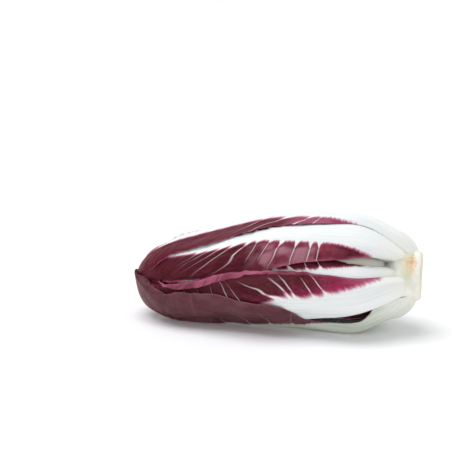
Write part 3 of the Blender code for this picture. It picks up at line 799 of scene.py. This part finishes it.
def leafPaint(name, look):
    paint = Paint(bpy.data.materials.new(name))
    leafAt = paint.attribute("leafAt", "Vector")
    atLength, v, start = paint.split(leafAt)
    vein, gap, beyond = paint.split(paint.attribute("veinAt", "Vector"))

    def grained(kind, along, out, shift=0):
        alongScale, outScale, detail, roughness = look[kind]
        place = paint.joined(along * alongScale, out * outScale, look["seed"] + shift)
        return paint.noise(place, 1.0, detail, roughness)

    number = vein.rounded()
    offVein = (vein - number).absolute()
    near = offVein * gap
    luck = paint.node("TexWhiteNoise", {"noise_dimensions": "1D"}, {"W": number + look["seed"]})
    veinsLast = atLength.fade(look["veinEnd"], look["veinEnd"] - look["veinLast"])

    # the white of the rib runs out into the blade in wedges along the veins
    streaks = grained("streaks", start, beyond) - 0.5
    wedge = (1 - near / look["wedgeHalf"]).clamped() ** 2
    wedge = wedge * (look["wedgeLeast"] + look["wedgeVaries"] * luck)
    border = beyond - wedge * look["wedge"] * veinsLast - streaks * look["feather"]
    ribWhite = border.fade(look["soft"], -look["softInside"] * look["soft"])
    outwards = (beyond / look["veinLength"]).clamped()
    varied = look["veinLeast"] + look["veinVaries"] * luck
    half = look["veinHalf"] * (1 - look["veinTaper"] * outwards) * varied
    line = near.fade(half + look["veinSoft"], half * look["veinCore"])
    ended = (beyond / (look["veinLength"] * varied)).clamped() ** 3
    veinLine = line * (1 - ended) * veinsLast * look["veinWhite"]

    # a fine net between the veins
    warp = paint.noise(leafAt, *look["warp"]) - 0.5
    netAlong, netOut = start * look["netScale"] + warp, beyond * look["netScale"] + warp * look["warpOut"]
    netAt = paint.joined(netAlong, netOut, look["seed"])
    net = paint.node("TexVoronoi", {"feature": "DISTANCE_TO_EDGE"}, {"Vector": netAt, "Scale": 1.0})
    netLine = net.fade(*look["netLine"]) * look["net"] * (1 - outwards * look["netFades"])

    # the blade's own reds, with painted sheen and a pale rim laid over them
    clouds = grained("clouds", atLength, v)
    deepShare = clouds.fade(*look["cloudFade"]) * look["cloudDeep"]
    deepShare = deepShare + atLength.fade(*look["deepFade"]) * look["tipDeep"]
    deepShare = deepShare + atLength.fade(*look["rootFade"]) * look["rootDeep"]
    deepShare = (deepShare + beyond.fade(*look["outFade"]) * look["outDeep"]).clamped()
    blade = paint.mix(deepShare, look["bright"], look["deep"])
    # painted sheen: pale patches between the veins, standing in for the lamp's reflections on the puckered
    # blade
    patches = grained("patches", start, beyond, look["patchShift"])
    offLine = look["bloomAtVein"] + (1 - look["bloomAtVein"]) * offVein.fade(0.0, look["veinClear"])
    sheen = patches.fade(*look["patchFade"]) * offLine * beyond.fade(*look["bloomOut"]) * look["bloom"]
    sheen = sheen * atLength.fade(*look["bloomFrom"]) * atLength.fade(*look["bloomTo"])
    blade = paint.mix(sheen, blade, look["sheen"])
    speckle = paint.noise(leafAt, *look["speckle"]).fade(*look["speckleFade"])
    blade = paint.mix(speckle * look["speckleShare"], blade, look["deep"])
    # a paler band along the margin: partly the margin's own paler colour and partly a painted highlight on
    # the edge
    rim = paint.attribute("toEdge").fade(look["rimWidth"], look["rimLine"]) * look["rim"]
    rim = rim * (patches.fade(*look["rimFade"]) * look["rimVaries"] + look["rimLeast"])
    for share in (netLine, atLength.fade(*look["paleFrom"]) * look["pale"], rim):
        blade = paint.mix(share, blade, look["halo"])

    # white, through pink, to the blade
    tones = grained("ribTones", atLength, v).fade(*look["toneFade"])
    rib = paint.mix(tones, look["rib"], look["ribShade"])
    rib = paint.mix(atLength.fade(*look["footFade"]) * look["footShare"], rib, look["foot"])
    veinColour = paint.mix(outwards.fade(*look["pinkFade"]) * look["veinPink"], rib, look["halo"])
    colour = paint.mix(veinLine, blade, veinColour)
    colour = paint.mix(ribWhite.fade(*look["haloFade"]), colour, look["halo"])
    colour = paint.mix(ribWhite.fade(*look["whiteFade"]), colour, rib)
    skin = paint.noise(leafAt, *look["skin"]) + net.fade(0.0, look["netDip"]) * look["netBump"]
    fibres = grained("fibres", atLength, v) * ribWhite * look["fibreBump"]
    settings = {
        "Base Color": colour,
        "Roughness": look["rough"] + clouds * look["cloudRough"] + ribWhite * look["ribRough"],
        "Subsurface Weight": look["subsurface"],
        "Subsurface Radius": look["bleed"],
        "Subsurface Scale": look["bleedDepth"],
        "Specular IOR Level": look["gloss"],
    }
    return paint.finish(settings, fibres + skin * (1 - ribWhite * look["ribSmooth"]), look["bump"])


# the leaves, from the inside out
baseLeaf = {
    "twist": 0.0, "swing": 0.0, "stout": 1.0, "fold": 0, "foldCells": 0, "rows": 21, "sideCells": 6,
    "fineRows": 200, "fineSide": 110, "pressed": False,
    "givenAt": (0, 20, 28, 40, 56, 75, 95, 118, 150, 200),
    "whiteUpper": (30, 19, 15.5, 13, 11, 9, 7, 5, 3.2, 1.6),
    "whiteLower": (30, 19, 15.5, 13, 11, 9, 7, 5, 3.2, 1.6),
    "leanAt": (0, 70, 95, 118, 190), "lean": (0.3, 0.5, 0.8, 1.0, 1.5),
    "veinsUpper": (), "veinsLower": (), "trimUpper": (0,) * 10, "trimLower": (0,) * 10,
    "ragged": 0.8, "ripple": 0.7, "veinRise": 0.3, "pucker": 0.6, "wrinkle": 0.14, "swell": 0.25,
    "ribLines": 0.10, "wander": 0.8, "tipMore": 0.0, "tipUneven": 1.2,
    "plump": (0,) * 10, "hugTo": (45, 90), "look": {},
}
innerWidth = (46, 42, 50, 58, 60, 48, 30)
middleWidth = (33, 31, 38, 44, 50, 40, 20)
hiddenWhite = (30, 19, 15.5, 13, 11, 9, 7, 4, 1.6, 0.4)
hiddenLeaf = {"whiteUpper": hiddenWhite, "whiteLower": hiddenWhite}
innerLeaf = {**hiddenLeaf, "depth": 15, "foot": 29, "upper": innerWidth, "lower": innerWidth,
             "stout": 0.6, "rows": 13, "sideCells": 4, "fineRows": 90, "fineSide": 60}
middleLeaf = {**hiddenLeaf, "depth": 9, "foot": 38, "upper": middleWidth, "lower": middleWidth,
              "stout": 0.8, "rows": 15, "sideCells": 5, "fineRows": 110, "fineSide": 80}
darkPaint = {"bright": linear(96, 18, 34), "deep": linear(50, 6, 14), "sheen": linear(110, 56, 66)}

innerLeafFront = {"node": "inner_leaf_front", **innerLeaf, "rib": 27, "reach": 0.86, "phase": 0.4,
                  "look": {**darkPaint, "rib": linear(232, 228, 212), "ribShade": linear(206, 196, 180)}}
innerLeafBack = {"node": "inner_leaf_back", **innerLeaf, "rib": 146, "reach": 0.85, "phase": 1.9,
                 "look": darkPaint}
innerLeafBottom = {"node": "inner_leaf_bottom", **innerLeaf, "rib": 266, "reach": 0.87, "phase": 3.1,
                   "look": darkPaint}
middleLeafFront = {"node": "middle_leaf_front", **middleLeaf, "rib": 9, "depth": 8.5, "foot": 41,
                   "reach": 0.92, "upper": (30, 18, 24, 44, 50, 40, 20), "phase": 0.9,
                   "whiteUpper": (30, 14, 12.5, 10.6, 7.6, 4.4, 3.5, 2.6, 2, 1),
                   "trimUpper": (0, 0, 0, -0.3, -1.5, -1, 0, 0, 0, 0), "ragged": 0.3, "ripple": 0.3,
                   "fineRows": 180, "fineSide": 100, "look": {**darkPaint, "veinHalf": 0.3}}
middleLeafTop = {"node": "middle_leaf_top", **middleLeaf, "rib": 82, "reach": 0.9, "phase": 2.2}
middleLeafBackTop = {"node": "middle_leaf_back_top", **middleLeaf, "rib": 150, "reach": 0.91, "phase": 2.9}
middleLeafBack = {"node": "middle_leaf_back", **middleLeaf, "rib": 222, "depth": 8.5, "reach": 0.92,
                  "phase": 4.4}
# this leaf shows only in the crevice between the front leaves. Its white is narrowed, its veins are faint
# and its rib is painted a dark grey-pink: painted shade for that crevice
middleLeafBottom = {"node": "middle_leaf_bottom", **middleLeaf, "rib": 294, "reach": 0.9, "phase": 5.3,
                    "whiteUpper": (30, 12, 4, 3, 3, 3, 3, 3, 2, 1),
                    "look": {**darkPaint, "veinWhite": 0.25, "ribShade": linear(150, 120, 124)}}
outerLeafFrontUpper = {
    "node": "outer_leaf_front_upper", "rib": 56, "depth": 2.0, "foot": 47, "reach": 0.97,
    "upper": (38, 31, 34, 41, 50, 42, 22), "lower": (14, 23, 34, 43, 44, 36, 19), "twist": -4, "swing": 8,
    "phase": 1.2, "fineRows": 300, "fineSide": 150, "pucker": 1.0, "veinRise": 0.4, "wrinkle": 0.2,
    "whiteLower": (30, 14.2, 13.4, 13.6, 10.4, 8.9, 7.4, 4.2, 3.4, 1.5),
    "leanAt": (0, 70, 84, 95, 103, 115, 120, 190), "lean": (0.2, 0.25, 0.3, 0.5, 0.6, 0.75, 1.3, 1.5),
    "veinsLower": (67.5, 73.6, 83.6, 94.6, 102.6, 112.5, 119, 129, 138, 148, 156, 165, 173, 182, 190),
    # painted sheen is strongest on this leaf: pale lavender patches that stand in for reflections. Its wide
    # pale rim is partly a painted highlight along the lower edge
    "look": {"bright": linear(140, 46, 68), "deep": linear(82, 12, 26), "bloom": 0.72, "bloomFrom": (44, 72),
             "bloomTo": (126, 106), "sheen": linear(188, 136, 150), "veinHalf": 0.32, "outDeep": 0.0,
             "rim": 0.8, "rimWidth": 2.4, "deepFade": (104, 124), "tipDeep": 0.9,
             "rootDeep": 1.0, "feather": 2.6, "soft": 2.4},
}
outerLeafFrontLower = {
    "node": "outer_leaf_front_lower", "rib": -26, "depth": 2.0, "foot": 47, "reach": 0.95,
    "upper": (17, 24, 37, 40, 28, 23, 15), "lower": (30, 22, 17, 38, 54, 44, 22), "twist": 3, "swing": 22,
    "fold": 8, "foldCells": 20, "phase": 2.6, "fineRows": 300, "fineSide": 130,
    "pucker": 0.75, "veinRise": 0.4,
    "whiteUpper": (30, 11.6, 12.4, 12.2, 9.8, 7.0, 5.4, -4, -6, -6),
    "leanAt": (0, 60, 83, 87, 94, 106, 118, 190), "lean": (0.7, 0.74, 0.8, 1.0, 1.3, 1.2, 0.8, 1.2),
    "veinsUpper": (60.2, 69.7, 82.3, 86, 94.3, 118, 127, 138, 147, 157, 166, 175, 184),
    "trimUpper": (0, 0, 0, 0.6, 1.2, 2.2, 2.4, 2.2, 1, 0),
    "trimLower": (-6, -3.6, -2.6, -4.0, -8.5, -8.5, -3, 0, 0, 0),
    "whiteLower": (30, 30, 30, 30, 30, 30, 20, -4, -6, -6),
    "plump": (0, 0.5, 1.0, 2.0, 3.4, 3.2, 1.0, 0, 0, 0),
    "look": {"bright": linear(172, 40, 90), "deep": linear(84, 12, 26), "bloom": 0.1, "veinHalf": 0.55,
             "wedge": 6.0, "wedgeHalf": 3.0, "deepFade": (52, 100), "tipDeep": 0.75,
             "feather": 5.0, "veinPink": 0.3, "rootDeep": 0.0, "halo": linear(188, 100, 130), "rim": 0.55,
             "pale": 0.6, "soft": 4.2},
}
outerLeafBack = {
    "node": "outer_leaf_back", "rib": 190, "depth": 2.0, "foot": 47, "reach": 0.96,
    "upper": (32, 28, 31, 37, 44, 36, 20), "lower": (32, 28, 34, 41, 48, 40, 21), "twist": -5, "phase": 0.3,
}
outerLeafBackTop = {
    "node": "outer_leaf_back_top", "rib": 140, "depth": 0.8, "foot": 49.5, "reach": 0.95,
    "upper": (29, 29, 34, 41, 47, 40, 21), "lower": (29, 29, 33, 42, 48, 40, 21), "twist": 4, "phase": 3.6,
}
outerLeafBackLow = {
    "node": "outer_leaf_back_low", "rib": 238, "depth": 1.4, "foot": 49.5, "reach": 0.98,
    "upper": (30, 30, 37, 45, 52, 44, 22), "lower": (30, 29, 33, 40, 48, 40, 21), "twist": 3, "phase": 4.8,
}
outerLeafTop = {
    "node": "outer_leaf_top", "rib": 90, "depth": 0.2, "foot": 49.5, "reach": 0.99,
    "upper": (30, 28, 36, 43, 48, 42, 22), "lower": (26, 18, 24, 27, 36, 36, 20), "twist": -6, "phase": 5.5,
    "fineRows": 260, "fineSide": 130,
    "whiteLower": (30, 30, 22, 15, 11.8, 9.8, 8.4, 6.0, 2.8, 1.2),
    "leanAt": (0, 68, 76, 91, 111, 190), "lean": (0.6, 0.8, 1.6, 2.6, 2.2, 1.6),
    "veinsLower": (68.5, 75.6, 91, 111, 124, 136, 147, 158, 168, 178, 188),
    "look": {"bright": linear(172, 86, 116), "deep": linear(88, 14, 30), "deepFade": (82, 106),
             "tipDeep": 1.0, "rootDeep": 0.0, "wedge": 2.4, "veinHalf": 0.26, "veinEnd": 150.0,
             "pale": 0.4, "paleFrom": (66, 44)},
}
outerLeafBottom = {
    "node": "outer_leaf_bottom", "rib": -78, "depth": 0.0, "foot": 49.5, "reach": 1.0,
    "upper": (36, 37, 33, 67, 70, 55, 27), "lower": (30, 30, 38, 47, 56, 46, 24), "twist": 3, "phase": 0.8,
    "fineRows": 260, "fineSide": 140, "pressed": True,
    "whiteUpper": (34, 28, 22.5, 20.5, 17, 13.4, 8.6, 4.9, 3.6, 2),
    "leanAt": (0, 104, 118, 137, 150, 200), "lean": (0.2, 0.3, 0.7, 1.1, 0.4, 0.8),
    "trimUpper": (-2, -2.4, 2.0, 7.6, 9.0, 4.0, -8.5, 1.8, 2.5, 0), "tipMore": 7.0, "hugTo": (22, 40),
    "veinsUpper": (60, 74, 88, 104.4, 118, 136.7, 149, 160, 171, 182, 192),
    "look": {"bright": linear(128, 72, 80), "deep": linear(90, 47, 54), "sheen": linear(136, 98, 104),
             "veinHalf": 0.26, "veinWhite": 0.5, "wedge": 3.0, "halo": linear(150, 92, 104), "net": 0.12,
             # the rib is painted darker and greener than the other ribs: a greenish tint, with painted shade
             # for the underside that faces the floor
             "rib": linear(218, 222, 210), "ribShade": linear(196, 202, 186), "rootFade": (100, 60),
             "rootDeep": 1.0},
}
leaves = [
    innerLeafFront, innerLeafBack, innerLeafBottom, middleLeafFront, middleLeafTop, middleLeafBackTop,
    middleLeafBack, middleLeafBottom, outerLeafFrontUpper, outerLeafFrontLower, outerLeafBack,
    outerLeafBackTop, outerLeafBackLow, outerLeafTop, outerLeafBottom,
]
for number, leaf in enumerate(leaves):
    leaf.update({**baseLeaf, **leaf, "seed": 100 + 17 * number})
    leaf["look"] = {**basePaint, **leaf["look"], "seed": 3.7 * number}


def pieceName(node):
    first, *rest = node.split("_")
    return first + "".join(word.capitalize() for word in rest)


def addLeaf(leaf, pile, shown):
    outer, inner, marks = fineLeaf(leaf, layCage(leaf, pile), shown)
    name = pieceName(leaf["node"])
    skin = leafPaint(name + "Skin", leaf["look"])
    return shownPiece(name, *closedSheet(outer, inner, marks), skin, leaf["node"], "leaf")


# the heart, a bud of small leaves rolled round each other
heartForm = {
    "reach": 22 * mm, "length": 0.93 * spine, "gap": 0.4 * mm, "endLean": 0.55, "innerX": 21 * mm,
    "rolls": 3, "twist": 1.1, "rollFrom": 0.93, "rollRise": 0.07,
    "taper": 0.12, "rootTaper": 0.22,
    "solidCells": (30, 20), "spread": 8, "around": 120, "rings": 72, "poleGap": 0.02, "markLength": 100,
}
heartPaint = {
    "bright": linear(112, 28, 46), "deep": linear(62, 12, 20), "white": linear(240, 240, 228),
    "clouds": (0.1, 6), "cloudDetail": 4.0, "cloudFade": (0.3, 0.7),
    "rootFade": (42.0, 20.0), "rootVaries": 20, "edge": (0.9, 0.98), "edgeWhite": 0.6,
    "rough": 0.42, "cloudRough": 0.1, "bump": 0.1 * mm,
}


def heartPoints(angle, lean):
    endLean = heartForm["endLean"]
    share = np.clip(0.5 - lean / (2 * endLean), 0, 1)
    pastEnd = np.clip((np.abs(lean) - endLean) / (math.pi / 2 - endLean), 0, None)
    lean = np.sign(lean) * pastEnd * math.pi / 2
    roll = (heartForm["rolls"] * angle / (2 * math.pi) + heartForm["twist"] * share) % 1
    rise = heartForm["rollFrom"] + heartForm["rollRise"] * roll
    reach = heartForm["reach"] * rise * (1 - heartForm["taper"] * share)
    reach = reach * (1 - heartForm["rootTaper"] * np.clip(np.sin(lean), 0, 1))
    ways = [np.sin(lean), -np.cos(lean) * np.cos(angle), np.cos(lean) * np.sin(angle)]
    points = reach[..., None] * np.stack(ways, -1)
    points[..., 0] += rootX - heartForm["length"] * share
    points[..., 0] = np.minimum(points[..., 0], rootX + heartForm["innerX"] - heartForm["gap"])
    return points, share, roll


def turnedForm(grid):
    # a closed form from rings of corners, with a point at each end
    rings, around = grid.shape[:2]
    corners = np.concatenate([grid.reshape(-1, 3), grid[:1].mean(1), grid[-1:].mean(1)])
    index = np.arange(rings * around).reshape(rings, around)
    beside = np.roll(index, -1, 1)
    faces = np.stack([index[:-1], index[1:], beside[1:], beside[:-1]], -1).reshape(-1, 4).tolist()
    first, last = rings * around, rings * around + 1
    faces += [(first, int(a), int(b)) for a, b in zip(index[0], beside[0])]
    faces += [(last, int(b), int(a)) for a, b in zip(index[-1], beside[-1])]
    return corners, faces


def pileSolidHeart(pile):
    # the solid's own corners go on the pile, so that the leaves lie as they do in the solids
    bm = bmesh.new()
    around, rings = heartForm["solidCells"]
    bmesh.ops.create_uvsphere(bm, u_segments=around, v_segments=rings, radius=1)
    ways = np.array([vert.co for vert in bm.verts])
    solid, _, _ = heartPoints(np.arctan2(ways[:, 1], ways[:, 0]), np.arcsin(np.clip(ways[:, 2], -1, 1)))
    for vert, point in zip(bm.verts, solid):
        vert.co = point
    bmesh.ops.triangulate(bm, faces=bm.faces[:])
    cuts = heartForm["spread"]
    shares = [(i / cuts, j / cuts) for i in range(cuts + 1) for j in range(cuts + 1 - i)]
    for face in bm.faces:
        a, b, c = (np.array(vert.co) for vert in face.verts)
        pile.add(np.array([a + p * (b - a) + q * (c - a) for p, q in shares]))
    bm.free()


def addHeart(pile, shown):
    pileSolidHeart(pile)
    top = math.pi / 2 - heartForm["poleGap"]
    leans = np.linspace(top, -top, heartForm["rings"])
    angles = np.linspace(0, 2 * math.pi, heartForm["around"], endpoint=False)
    lean, angle = np.meshgrid(leans, angles, indexing="ij")
    points, share, roll = heartPoints(angle, lean)
    shown.add(points)
    corners, faces = turnedForm(setDown(points))
    rollAt = np.stack([share * heartForm["markLength"], roll, angle], -1).reshape(-1, 3)
    marks = {"rollAt": np.concatenate([rollAt, np.zeros((2, 3))])}
    look = heartPaint
    paint = Paint(bpy.data.materials.new("heartSkin"))
    along, rollShare, _ = paint.split(paint.attribute("rollAt", "Vector"))
    cloudAlong, cloudRound = look["clouds"]
    cloudAt = paint.joined(along * cloudAlong, rollShare * cloudRound)
    clouds = paint.noise(cloudAt, 1.0, look["cloudDetail"])
    blade = paint.mix(clouds.fade(*look["cloudFade"]), look["bright"], look["deep"])
    rootWhite = (along + (clouds - 0.5) * look["rootVaries"]).fade(*look["rootFade"])
    edgeWhite = rollShare.fade(*look["edge"]) * look["edgeWhite"]
    settings = {
        "Base Color": paint.mix(rootWhite.atLeast(edgeWhite), blade, look["white"]),
        "Roughness": look["rough"] + clouds * look["cloudRough"],
    }
    skin = paint.finish(settings, clouds, look["bump"])
    return shownPiece("heart", corners, faces, marks, skin, "heart", "leaf")


# the stem, cut straight across, with a tan scar where a leaf was pulled off
stemForm = {
    "innerX": 21 * mm, "cone": 19.75, "hump": 7.5 * mm, "humpLean": 1.25, "collarX": 47 * mm,
    "collarRadius": 18.1 * mm, "neckDrop": 0.1 * mm, "neckGap": 0.5 * mm, "faceRadius": 15 * mm,
    "shoulder": 3.6 * mm, "shoulderFrom": 0.12, "middle": 0.4 * mm, "endDrop": 1 * mm,
    "rings": {"face": 16, "shoulder": 12, "side": 5, "neck": 40, "end": 4}, "around": 240,
    "sideFrom": (9 * mm, 15 * mm), "lobe": 0.8 * mm, "lobeWidth": 0.30, "lobeMean": 0.55,
    "uneven": 0.3 * mm, "unevenWaves": (math.pi / 10, 9 * mm),
    "scarX": 45.2 * mm, "scarAngle": 41, "scarLong": 4.2 * mm, "scarWide": 8.0 * mm, "scarVaries": 0.25,
    "scarWaves": (1 / 9, 2 * mm), "scarFrom": (1.15, 0.75), "scarRise": 0.35 * mm, "tornMean": 0.4,
    "tornVaries": 0.9, "tornWaves": (1 / 22, 0.8 * mm),
    "cutFrom": 0.1 * mm, "cutWaves": 2.5 * mm, "cutRough": 0.14 * mm, "cutHollow": 0.3 * mm,
}
stemPaint = {
    "side": (linear(244, 243, 234), linear(236, 233, 219)), "sideFade": (0.35, 0.7),
    "cut": (linear(243, 237, 222), linear(233, 223, 203)), "cutFade": (0.3, 0.7), "cutFrom": (51.6, 52.7),
    "ring": linear(214, 196, 166), "ringAt": 11.2, "ringVaries": 2.4, "ringFade": (1.6, 0.2),
    "ringShare": 0.35, "bark": linear(230, 206, 186), "barkFrom": (13.6, 15.6), "barkVaries": 4,
    "barkShare": 0.5,
    "green": (linear(214, 218, 178), linear(226, 222, 190)), "greenRound": (2.6, 1.1),
    "greenAlong": (48.5, 44.0), "greenShare": 0.8,
    "tan": (linear(244, 222, 190), linear(226, 184, 140)), "tanFade": (0.4, 0.65), "tanRound": (1.3, 0.6),
    "tanShare": 0.9, "speck": linear(150, 100, 64), "specks": (900.0, 2.0), "speckFade": (0.64, 0.74),
    "speckRound": (1.4, 0.8), "speckShare": 0.6,
    "mottle": (180.0, 4.0, 0.6), "rough": 0.5, "mottleRough": 0.12, "bump": 0.25 * mm,
    "subsurface": 0.12, "bleed": (1.0, 0.7, 0.5), "bleedDepth": 0.002, "gloss": 0.3,
}


def stemProfile():
    # how far out the stem's surface is, from the middle of the cut to the end inside the head
    form, rings = stemForm, stemForm["rings"]
    slope = math.tan(math.radians(form["cone"]))
    cut, collar, inner = headShape["rootReach"], form["collarX"], form["innerX"]
    face = [(cut, r) for r in np.linspace(form["middle"], form["faceRadius"], rings["face"])]
    across = form["collarRadius"] - form["faceRadius"]
    shoulder = [
        (cut - form["shoulder"] * (1 - math.cos(a)), form["faceRadius"] + across * math.sin(a))
        for a in np.linspace(form["shoulderFrom"], math.pi / 2, rings["shoulder"])
    ]
    side = [(x, form["collarRadius"]) for x in np.linspace(shoulder[-1][0], collar, rings["side"])[1:]]
    neck = []
    flare = form["collarRadius"] - form["neckDrop"] - collar * slope
    for x in np.linspace(collar - form["neckGap"], inner, rings["neck"]):
        share = (x - inner) / (collar - inner)
        hump = form["hump"] * math.sin(math.pi * share ** form["humpLean"])
        neck.append((x, x * slope + flare * share**3 + hump))
    end = [(inner, r) for r in np.linspace(inner * slope - form["endDrop"], form["middle"], rings["end"])]
    return np.array(face + shoulder + side + neck + end)


def turnTo(angle, other):
    # the turn from one way to another, from -pi to pi
    return np.angle(np.exp(1j * (angle - other)))


def stemCorners():
    # rings of corners, and how far each is from the scar's middle, where 1 is its edge
    form, profile = stemForm, stemProfile()
    x, radius = (profile[:, i : i + 1] * np.ones((1, form["around"])) for i in (0, 1))
    angle = np.linspace(0, 2 * math.pi, form["around"], endpoint=False)[None, :] * np.ones_like(x)

    def waves(name, seed):
        turn, length = form[name]
        return grain(angle / turn, x / length, seed)

    outerLeaves = [leaf for leaf in leaves if leaf["node"].startswith("outer")]
    feet = [math.radians(leaf["rib"] + leaf["swing"]) for leaf in outerLeaves]
    lobes = sum(np.exp(-((turnTo(angle, foot) / form["lobeWidth"]) ** 2)) for foot in feet)
    onSide = step(radius, *form["sideFrom"])
    radius = radius + form["lobe"] * (lobes - form["lobeMean"]) * onSide
    radius += form["uneven"] * onSide * waves("unevenWaves", 41)
    across = turnTo(angle, math.radians(form["scarAngle"])) * radius
    scar = np.hypot((x - form["scarX"]) / form["scarLong"], across / form["scarWide"])
    scar += form["scarVaries"] * waves("scarWaves", 42)
    torn = form["tornMean"] + form["tornVaries"] * waves("tornWaves", 43)
    radius += form["scarRise"] * step(scar, *form["scarFrom"]) * torn
    onCut = (profile[:, :1] > headShape["rootReach"] - form["cutFrom"]) * np.ones_like(x)
    wave = form["cutWaves"]
    rough = grain(radius * np.cos(angle) / wave, radius * np.sin(angle) / wave, 44)
    x = x + onCut * (form["cutRough"] * rough - form["cutHollow"] * (1 - radius / form["collarRadius"]))
    return x, radius, angle, scar


def stemSkin():
    look = stemPaint
    paint = Paint(bpy.data.materials.new("stemSkin"))
    place = paint.node("TexCoord", {}, {}, "Object")
    length, out, toScar = paint.split(paint.attribute("stemAt", "Vector"))
    mottle = paint.noise(place, *look["mottle"])
    body = paint.mix(mottle.fade(*look["sideFade"]), *look["side"])
    cut = paint.mix(mottle.fade(*look["cutFade"]), *look["cut"])
    ring = (out + (mottle - 0.5) * look["ringVaries"] - look["ringAt"]).absolute().fade(*look["ringFade"])
    cut = paint.mix(ring * look["ringShare"], cut, look["ring"])
    bark = (out + (mottle - 0.5) * look["barkVaries"]).fade(*look["barkFrom"])
    cut = paint.mix(bark * look["barkShare"], cut, look["bark"])
    body = paint.mix(length.fade(*look["cutFrom"]), body, cut)
    green = paint.mix(mottle.fade(*look["tanFade"]), *look["green"])
    greenShare = toScar.fade(*look["greenRound"]) * length.fade(*look["greenAlong"]) * look["greenShare"]
    body = paint.mix(greenShare, body, green)
    tan = paint.mix(mottle.fade(*look["tanFade"]), *look["tan"])
    body = paint.mix(toScar.fade(*look["tanRound"]) * look["tanShare"], body, tan)
    specks = paint.noise(place, *look["specks"]).fade(*look["speckFade"])
    specks = specks * toScar.fade(*look["speckRound"])
    settings = {
        "Base Color": paint.mix(specks * look["speckShare"], body, look["speck"]),
        "Roughness": look["rough"] + mottle * look["mottleRough"],
        "Subsurface Weight": look["subsurface"],
        "Subsurface Radius": look["bleed"],
        "Subsurface Scale": look["bleedDepth"],
        "Specular IOR Level": look["gloss"],
    }
    return paint.finish(settings, mottle, look["bump"])


def addStem():
    x, radius, angle, scar = stemCorners()
    points = np.stack([rootX + x, -radius * np.cos(angle), radius * np.sin(angle)], -1)
    height = headShape["axisHeight"] - headShape["stemDroop"]
    corners, faces = turnedForm(points + [headShape["lengthShift"], headShape["sideShift"], height])
    stemAt = np.stack([x / mm, radius / mm, scar], -1).reshape(-1, 3)
    farOff = 9
    ends = [[headShape["rootReach"] / mm, 0, farOff], [stemForm["innerX"] / mm, 0, farOff]]
    marks = {"stemAt": np.concatenate([stemAt, ends])}
    return shownPiece("stem", corners, faces, marks, stemSkin(), "stem", "stem")


# the floor and the light
studioSet = {
    "floor": linear(252, 252, 252), "floorPatch": linear(249, 249, 249), "patches": (3.0, 2.0),
    "floorGlow": 0.02, "floorRough": 0.6, "floorGloss": 0.2, "floorSize": 12.0, "floorDrop": 0.1 * mm,
    "horizon": linear(255, 255, 255), "zenith": linear(190, 192, 196), "skyFade": (0.04, 0.5),
    "sunPower": 1.9, "sunWidth": 45, "sunFrom": (-0.35, 0.02, 1.25),
}


def addStudio():
    paint = Paint(bpy.data.materials.new("floorPaint"))
    tone = paint.noise(paint.node("TexCoord", {}, {}, "Object"), *studioSet["patches"])
    settings = {
        "Base Color": paint.mix(tone, studioSet["floor"], studioSet["floorPatch"]),
        "Roughness": studioSet["floorRough"], "Specular IOR Level": studioSet["floorGloss"],
        "Emission Color": (1, 1, 1, 1), "Emission Strength": studioSet["floorGlow"],
    }
    size = studioSet["floorSize"]
    mesh = bpy.data.meshes.new("floor")
    corners = [(-size, -size, 0), (size, -size, 0), (size, size, 0), (-size, size, 0)]
    mesh.from_pydata(corners, [], [(0, 1, 2, 3)])
    mesh.materials.append(paint.finish(settings))
    floor = bpy.data.objects.new("floor", mesh)
    floor.location.z = -studioSet["floorDrop"]
    scene.collection.objects.link(floor)
    sun = bpy.data.lights.new("sun", "SUN")
    sun.energy = studioSet["sunPower"]
    sun.angle = math.radians(studioSet["sunWidth"])
    lamp = bpy.data.objects.new("sun", sun)
    lamp.rotation_euler = Vector(studioSet["sunFrom"]).to_track_quat("Z", "Y").to_euler()
    scene.collection.objects.link(lamp)
    scene.world = bpy.data.worlds.new("studio")
    sky = Paint(scene.world)
    height = sky.split(sky.node("TexCoord", {}, {}, "Generated"))[2]
    colour = sky.mix(height.fade(*studioSet["skyFade"]), studioSet["horizon"], studioSet["zenith"])
    sky.node("OutputWorld", {}, {0: sky.node("Background", {}, {"Color": colour, "Strength": 1.0})})


pile, shown = Pile(), Pile()
addStem()
print("stem made")
addHeart(pile, shown)
print("heart made")
for leaf in leaves:
    made = addLeaf(leaf, pile, shown)
    print("laid", made.name, len(made.data.polygons), "faces")
addStudio()
print("studio set")
